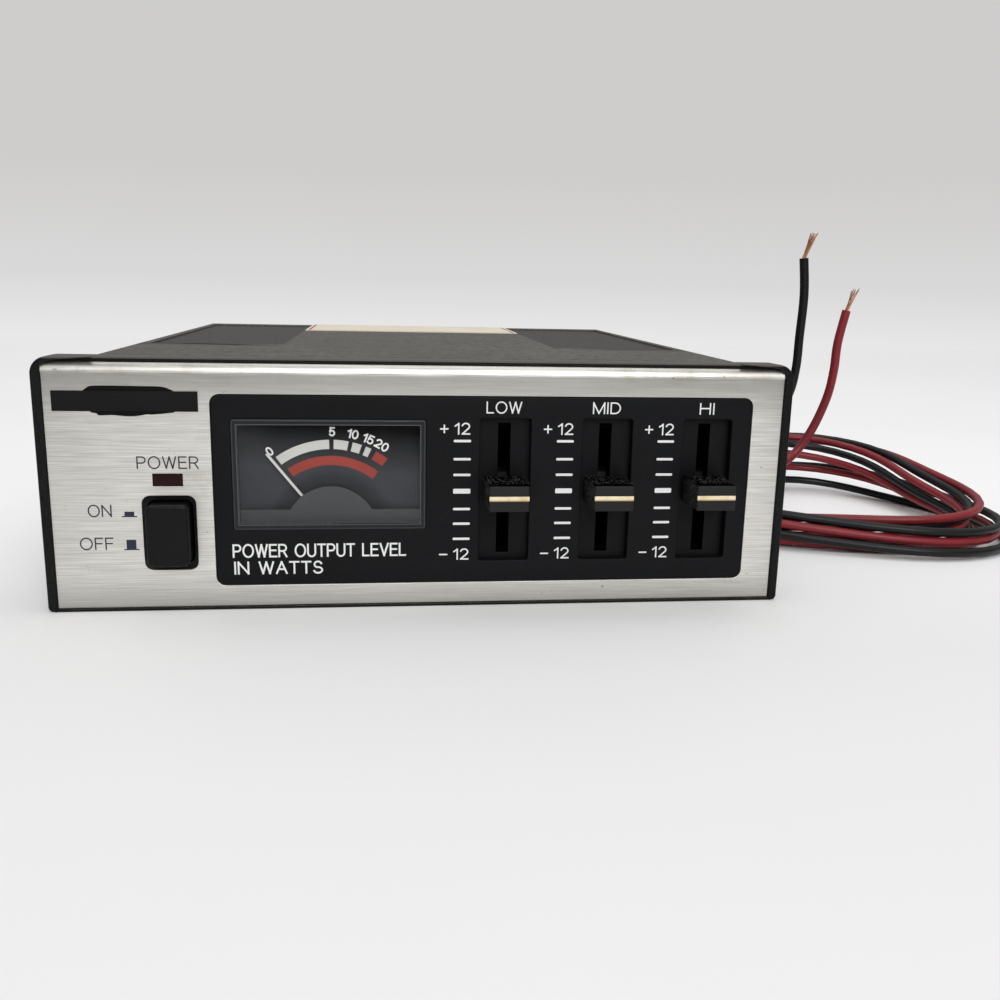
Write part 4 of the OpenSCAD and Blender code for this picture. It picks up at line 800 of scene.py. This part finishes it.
# each letter as its width and its strokes, where the height of a capital is 1
stem = ((0, 0), (0, 1))
letter_strokes = {
    " ": (0.3, ()),
    "A": (0.7, (((0, 0), (0.35, 1)), ((0.35, 1), (0.7, 0)), ((0.13, 0.36), (0.57, 0.36)))),
    "D": (0.68, (stem, bowl(0.28, 0, 1, 0.4))),
    "E": (0.56, (stem, ((0, 1), (0.54, 1)), ((0, 0.53), (0.5, 0.53)), ((0, 0), (0.56, 0)))),
    "F": (0.52, (stem, ((0, 1), (0.52, 1)), ((0, 0.51), (0.46, 0.51)))),
    "H": (0.66, (stem, ((0.66, 0), (0.66, 1)), ((0, 0.53), (0.66, 0.53)))),
    "I": (0.0, (stem,)),
    "L": (0.5, (stem, ((0, 0), (0.5, 0)))),
    "M": (0.8, (stem, ((0, 1), (0.4, 0)), ((0.4, 0), (0.8, 1)), ((0.8, 0), (0.8, 1)))),
    "N": (0.68, (stem, ((0, 1), (0.68, 0)), ((0.68, 0), (0.68, 1)))),
    "O": (0.84, (bow(0.42, 0.5, 0.42, 0.52, 0, 360),)),
    "P": (0.6, (stem, bowl(0.33, 0.46, 1, 0.27))),
    "R": (0.64, (stem, bowl(0.34, 0.47, 1, 0.27), ((0.36, 0.47), (0.63, 0)))),
    "S": (0.58, (np.vstack([bow(0.29, 0.75, 0.25, 0.26, 20, 262), bow(0.29, 0.245, 0.29, 0.26, 82, -160)]),)),
    "T": (0.6, (((0.3, 0), (0.3, 1)), ((0, 1), (0.6, 1)))),
    "U": (0.64, (np.vstack([[(0, 1)], bow(0.32, 0.3, 0.32, 0.32, 180, 360), [(0.64, 1)]]),)),
    "V": (0.66, (((0, 1), (0.33, 0)), ((0.33, 0), (0.66, 1)))),
    "W": (0.96, (((0, 1), (0.24, 0)), ((0.24, 0), (0.48, 1)), ((0.48, 1), (0.72, 0)), ((0.72, 0), (0.96, 1)))),
    "0": (0.52, (bow(0.26, 0.5, 0.26, 0.51, 0, 360),)),
    "1": (0.24, (((0.24, 0), (0.24, 1)), ((0, 0.76), (0.2, 0.94)))),
    "2": (0.52, (np.vstack([bow(0.26, 0.72, 0.25, 0.29, 165, -38), [(0.02, 0)]]), ((0.02, 0), (0.53, 0)))),
    "5": (0.52, (((0.1, 1), (0.49, 1)), ((0.1, 1), (0.04, 0.48)), bow(0.25, 0.31, 0.27, 0.32, 138, -150))),
}


def bar(line, thick, y):
    """Printed bar along a line on the face: a thin oblong section, half a bar longer at each open end."""
    way = np.gradient(line, axis=0)
    way /= np.linalg.norm(way, axis=1, keepdims=True)
    if abs(line[0] - line[-1]).max() > thick / 2:
        line = line + way * (thick / 2 * np.r_[-1, np.zeros(len(line) - 2), 1])[:, None]
    side = np.stack([-way[:, 1], way[:, 0]], axis=-1)[:, None, :] * thick / 2
    x, z = np.moveaxis(line[:, None, :] + side * np.array([1, -1, -1, 1])[None, :, None], -1, 0)
    return spots(x, y + print_t * np.array([-1, -1, 0.5, 0.5]), z)


def word(letters, left, foot, tall, wide, thick, y, turn=0.0):
    """Bars of a word that fills a box of this height and width, turned about the box's middle."""
    gap = 0.24
    starts = np.cumsum([0] + [letter_strokes[letter][0] + gap for letter in letters])
    grow = np.array([(wide - thick) / (starts[-1] - gap), tall - thick])
    c, s = math.cos(math.radians(turn)), math.sin(math.radians(turn))
    middle = np.array([left + wide / 2, foot + tall / 2])
    made = []
    for letter, start in zip(letters, starts):
        for layer, stroke in enumerate(letter_strokes[letter][1]):
            line = (np.array(stroke) + (start, 0)) * grow - (np.array([wide, tall]) - thick) / 2
            made.append(bar(line @ np.array([[c, -s], [s, c]]) + middle, thick, y - 0.15 * print_t * layer))
    return made


numbers, tall = [], 1.9
for letters, angle, wide in (("0", -36.75, 1.25), ("5", 0.87, 1.25), ("10", 12.74, 2.3), ("15", 21.91, 2.3),
                             ("20", 30.32, 2.9)):
    a = math.radians(angle)
    left, foot = pivot + number_r * np.array((math.sin(a), math.cos(a))) - (wide / 2, tall / 2)
    numbers += word(letters, left, foot, tall, wide, 0.34, dial_front, angle)
dial_numbers = skin("dial_numbers", *numbers)
for piece, printed in ((white_bands, white_ink), (red_bands, red_ink), (dial_numbers, number_ink)):
    carried(piece, printed, "meter_dial")

# Meter lens
# A clear acrylic lid moulded in one piece, polished, with bevelled front edges; it holds the dial and drops
# into the panel's window from behind.
acrylic, tree = finish("acrylic", IOR=1.2, Specular_IOR_Level=0.12)
lens_middle, lens_half = (-0.0196, 0.0275), (0.019, 0.0111)
x, _, z = axes(tree)
from_edge = inset((x, z), lens_middle, lens_half)
# painted highlights: two grey lines, along the rounded front edge and over the inner face of the side walls,
# stand for glints on the lens; the border over the side walls is drawn opaque and dark grey
wall_glint = times(between(from_edge, 0.00085, 0.00095, 0.00105, 0.00115), 0.9)
wall_border = larger(spread(from_edge, 0.00095, 0.00105, 0.7, 0), wall_glint)
front_edge_glint = spread(from_edge, 0.0002, 0.0004, 0.6, 0)
film = place(tree, grain, {"Scale": 4000, "Slow": 120})
walls = tint(spread(wall_border, 0, 0.2), "#f6f8f8", "#323335")
feed(Base_Color=tint(larger(wall_glint, front_edge_glint), walls, "#5b5d60"),
     Transmission_Weight=spread(wall_border, 0, 1, 1, 0),
     Roughness=spread(film["Tone"], 0.3, 0.8, 0, 0.02))

# light, and sight through the clear part, go straight through, less what the front of the pane mirrors
light = put(tree, "LightPath", {}).outputs
through_light = larger(light["Is Shadow Ray"], light["Is Diffuse Ray"])
from_outside = spread(put(tree, "NewGeometry", {}).outputs["Backfacing"], 0, 1, 1, 0)
mirror = times(put(tree, "Fresnel", {"IOR": 1.3}).outputs[0], from_outside)
pane = times(spread(wall_border, 0, 0.2, 1, 0), spread(mirror, 0, 1, 1, 0))
see_through(larger(through_light, pane))
lens_sides, lens_inside = (-38.6, -0.6, 16.4, 38.6), (-37.6, -1.6, 17.4, 37.6)
rim_sides, rim_inside = (-40.1, 0.9, 8.5, 40.1), (-39.1, -0.1, 9.5, 39.1)
lens_front, rim_front, rim_floor, rim_back, pane_back = -0.2, 2, 3, 8, 1
lens = skin("clear_lens", rings(
    edge(lens_front, lens_sides, 0.5, 0.35), edge(rim_front, lens_sides, 0.5), edge(rim_front, rim_sides, 0.1),
    edge(rim_back, rim_sides, 0.1), edge(rim_back, rim_inside, 0.1), edge(rim_floor, rim_inside, 0.1),
    edge(rim_floor, lens_inside, 0.1), edge(pane_back, lens_inside, 0.1)))
stand_for(lens, acrylic, "meter_lens")

# Sliders
# Three black moulded knobs pushed onto the levers of the slide controls, each with a cream line set into its
# front. Lint clings to their tops and left sides.
knob_gloss = 0.3
knob_plastic = moulded("knob_plastic", "#131416", 0.5, 2600, 20e-6, 1, lint="#060606", change=0.2,
                       Specular_IOR_Level=knob_gloss)
tree = knob_plastic.node_tree
facing = put(tree, "SeparateXYZ", {0: put(tree, "NewGeometry", {}).outputs["Normal"]}).outputs[2]
# the faces that look up are painted near black and lose their sheen
upward_darkened = spread(facing, 0.4, 0.8)
recolour(upward_darkened, "#040404")
feed(Specular_IOR_Level=spread(upward_darkened, 0, 1, knob_gloss, 0))
cream_line, tree = finish("cream_line", Roughness=0.42, Specular_IOR_Level=0.3)
worn = place(tree, grain, {"Scale": 2500, "Slow": 500})
foiled = tint(spread(worn["Tone"], 0.35, 0.65), "#f2e6c8", "#dcc596")
# painted shade: the lower part of the line is tinted dark brown
lower_edge_shade = spread(axes(tree)[2], 0.0237, 0.0241, 1, 0)
feed(Base_Color=tint(lower_edge_shade, foiled, "#8a6334"))
lint_grey = moulded("lint_grey", "#4c4a46", 0.9, 6000, 2e-6, 0, change=0.5)
knob_front, knob_root, knob_wide, knob_tall, hair_r = -8, 1.9, 7.9, 5.2, 0.022
draw = np.random.default_rng(11)


def fibres(low, high, out, count):
    """Bent hairs on one face of a box: each starts on the face, leans any way and stands off it by a little.
    A hair is three rings of a thin triangle."""
    foot = low + draw.random((count, 3)) * (high - low)
    lean = draw.normal(size=(count, 3)) * (1 - abs(out)) * 0.35
    lift = out * draw.uniform(0.05, 0.3, (count, 1))
    bend = draw.normal(size=(count, 3)) * 0.08
    line = np.stack([foot, foot + lean / 2 + lift * 0.8 + bend, foot + lean + lift * 0.6], axis=1)
    a = np.radians((0, 120, 240))
    ring = hair_r * np.stack([np.cos(a), np.sin(a), np.cos(a) * 0.6], axis=-1)
    return [from_face(hair[:, None, :] + ring) for hair in line]


for key, x in zip(("low", "mid", "hi"), slider_middles):
    front_sides, root_sides = upright(x, knob_wide, knob_tall), upright(x, knob_wide + 0.5, knob_tall)
    knob = skin(f"knob_{key}", rings(
        edge(knob_front, front_sides, 0.25, 0.22), edge(knob_root, root_sides, 0.25)))
    stand_for(knob, knob_plastic, f"slider_knob_{key}")
    line = skin(f"line_{key}", block(knob_front - 0.1, knob_front + 0.5, upright(x, knob_wide, 1), 0.1, 0.06))
    stand_for(line, cream_line, f"knob_line_{key}")
    hairs = fibres(np.array((x - 4, -6.5, 26.78)), np.array((x + 4, 1.5, 26.8)), np.array((0, 0, 1)), 200)
    hairs += fibres(np.array((x - 4.1, -6.5, 22)), np.array((x - 4.05, 1.5, 26.6)), np.array((-1, 0, 0)), 90)
    carried(skin(f"lint_{key}", *hairs), lint_grey, f"slider_knob_{key}")

# Power button
# A black moulded cap with soft corners and a rounded front edge, on the plunger of a push switch.
cap_plastic = moulded("cap_plastic", "#070709", 0.42, 2400, 10e-6, 0.1, Specular_IOR_Level=0.18)
cap_sides = (-54.95, -46.85, 9.75, 22.05)
cap = skin("power_cap", block(-3.2, 13, cap_sides, 1.2, 0.5))
stand_for(cap, cap_plastic, "button_cap")

# Return spring
# A coil of steel wire round the plunger, between the cap and the switch. The real one closes up as the cap
# goes in; this one is drawn at one fixed length.
spring_steel = moulded("spring_wire", "#b9b9b6", 0.3, 6000, 4e-6, 0, Metallic=1)
spring_turns, wire_r = 5, 0.00025
spring_low, spring_high = np.array(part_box("button_spring"))
spring_middle = (spring_low + spring_high) / 2
coil_r, coil_long = (spring_high - spring_low)[0] / 2 - wire_r, (spring_high - spring_low - 2 * wire_r)[1]
u = np.linspace(0, 1, 24 * spring_turns + 1)
a = 2 * np.pi * spring_turns * u
coil = np.stack([spring_middle[0] + coil_r * np.cos(a), spring_low[1] + wire_r + coil_long * u,
                 spring_middle[2] + coil_r * np.sin(a)], axis=-1)
spring = skin("return_spring", hose(coil, wire_r, 8))
spring.data.materials.append(spring_steel)
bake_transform(spring)
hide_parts("button_spring")

# Pilot lamp
# A flat red lamp whose clear-dyed resin looks maroon when it is off.
lamp_resin, tree = finish("lamp_resin", Roughness=0.3, Specular_IOR_Level=0.12)
depth = place(tree, grain, {"Scale": 1800, "Slow": 500})
feed(Base_Color=tint(spread(depth["Tone"], 0.3, 0.7), "#1b090a", "#2a0d10"))
lamp = skin("pilot_lamp", block(-0.1, 7.5, (-53.65, -48.15, 25.45, 27.75), 0.25, 0.15))
stand_for(lamp, lamp_resin, "power_led")

# Legends
# Screen-printed words and scales: white on the panel, dark blue-black on the plate.
panel_ink, plate_ink = ink("panel_ink", "#e4e5e3", 0.05), ink("plate_ink", "#25263a", 0.15)
panel_stroke, name_stroke, scale_stroke, plate_stroke = 0.36, 0.27, 0.29, 0.26


def tick(x, z, wide, tall, y, soft=0.2):
    """Printed bar with soft corners about a middle."""
    sides = (x - wide / 2, x + wide / 2, z - tall / 2, z + tall / 2)
    return block(y - print_t, y + 0.5 * print_t, sides, min(soft, 0.45 * min(wide, tall)))


white = word("POWER OUTPUT LEVEL", -39.1, 10.6, 2.8, 34.6, panel_stroke, panel_front)
white += word("IN WATTS", -38.9, 7.1, 2.7, 17.6, panel_stroke, panel_front)
tick_rises = (10.3, 6.6, 3.37, 0, -3.72, -6.8, -10.0)
plus_foot, minus_foot, sign_long, sign_t = 35.7, 9.65, 1.75, 0.3
for letters, x, wide in zip(("LOW", "MID", "HI"), slider_middles, (7.2, 5.8, 3.1)):
    white += word(letters, x - 0.4 - wide / 2, 40.0, 2.4, wide, name_stroke, panel_front)
    for foot in (plus_foot, minus_foot):
        white += word("12", x - 10.35, foot, 2.4, 3.15, scale_stroke, panel_front)
        white.append(tick(x - 12.4, foot + 1.15, sign_long, sign_t, panel_front))
    white.append(tick(x - 12.4, plus_foot + 1.15, sign_t, sign_long, panel_front - 0.1 * print_t))
    white += [tick(x - 8.75, 24.1 + rise, 3.5, 0.5 if rise else 1.0, panel_front) for rise in tick_rises]
carried(skin("panel_legends", *white), panel_ink, "control_panel")
dark = word("POWER", -56.6, 28.8, 2.5, 11.75, plate_stroke, 0)
dark += word("ON", -66.3, 19.25, 2.45, 4.5, plate_stroke, 0)
dark += word("OFF", -68.2, 12.6, 2.5, 6.4, plate_stroke, 0)
for x, foot, tall in ((-58.5, 19.2, 1.1), (-58.45, 12.5, 2.1)):
    dark += [tick(x, foot + 0.12, 2.9, 0.24, 0, 0.05),
             tick(x, foot + tall / 2, 1.85, tall, -0.1 * print_t, 0.05)]
carried(skin("plate_legends", *dark), plate_ink, "face_plate")

# Table, backdrop and light
# A white table that runs back into a pale grey sweep, under broad soft light from above and in front.
table_white, tree = finish("table_white", Roughness=0.6)
away = axes(tree)[1]
cloth = place(tree, grain, {"Scale": 900, "Slow": 8})
# painted shade: the table is tinted grey towards the camera
table_near_shade = tint(spread(away, -0.1, 0.03), "#e9e9e9", "#ffffff")
feed(Base_Color=tint(spread(cloth["Tone"], 0.3, 0.7, 0, 0.08), table_near_shade, "#dadad9"))
see_through(spread(away, 0.15, 0.85))
top = bpy.data.meshes.new("table")
top.from_pydata([(-3, -0.6, 0), (3, -0.6, 0), (3, 3, 0), (-3, 3, 0)], [], [(0, 1, 2, 3)])
table = bpy.data.objects.new("table", top)
top.materials.append(table_white)
scene.collection.objects.link(table)

world = bpy.data.worlds.new("studio")
world.use_nodes = True
scene.world = world
tree = world.node_tree
seen = tree.nodes["Background"]
rise = put(tree, "SeparateXYZ", {0: put(tree, "TexCoord", {}).outputs["Generated"]}).outputs[2]
near_grey = tint(spread(rise, -0.1, 0), "#f4f4f4", "#dad9d9")
tree.links.new(tint(spread(rise, 0, 0.1), near_grey, "#cecdcc"), seen.inputs["Color"])
sky = tint(spread(rise, -0.05, 0.6), "#7a7a7a", "#ffffff")
lit = put(tree, "Background", {"Color": sky, "Strength": 0.6})
light = put(tree, "LightPath", {}).outputs
mixed = put(tree, "MixShader", {0: light["Is Camera Ray"], 1: lit.outputs[0], 2: seen.outputs[0]})
tree.links.new(mixed.outputs[0], tree.nodes["World Output"].inputs["Surface"])


def softbox(name, place_at, aim, size, power):
    """Square soft lamp at a place, turned so that it faces its aim."""
    lamp = bpy.data.lights.new(name, "AREA")
    lamp.shape = "SQUARE"
    lamp.size = size
    lamp.energy = power
    held = bpy.data.objects.new(name, lamp)
    held.location = place_at
    way = np.array(aim, float) - place_at
    held.rotation_euler = (math.acos(-way[2] / np.linalg.norm(way)), 0, math.atan2(way[1], way[0]) - math.pi / 2)
    scene.collection.objects.link(held)


softbox("key", (0.12, -1.12, 0.72), (0, 0, 0.02), 0.7, 8.4)
softbox("above", (0.1, 0.1, 1.2), (0, 0, 0.02), 1.0, 4.2)
scene.view_settings.view_transform = "Standard"
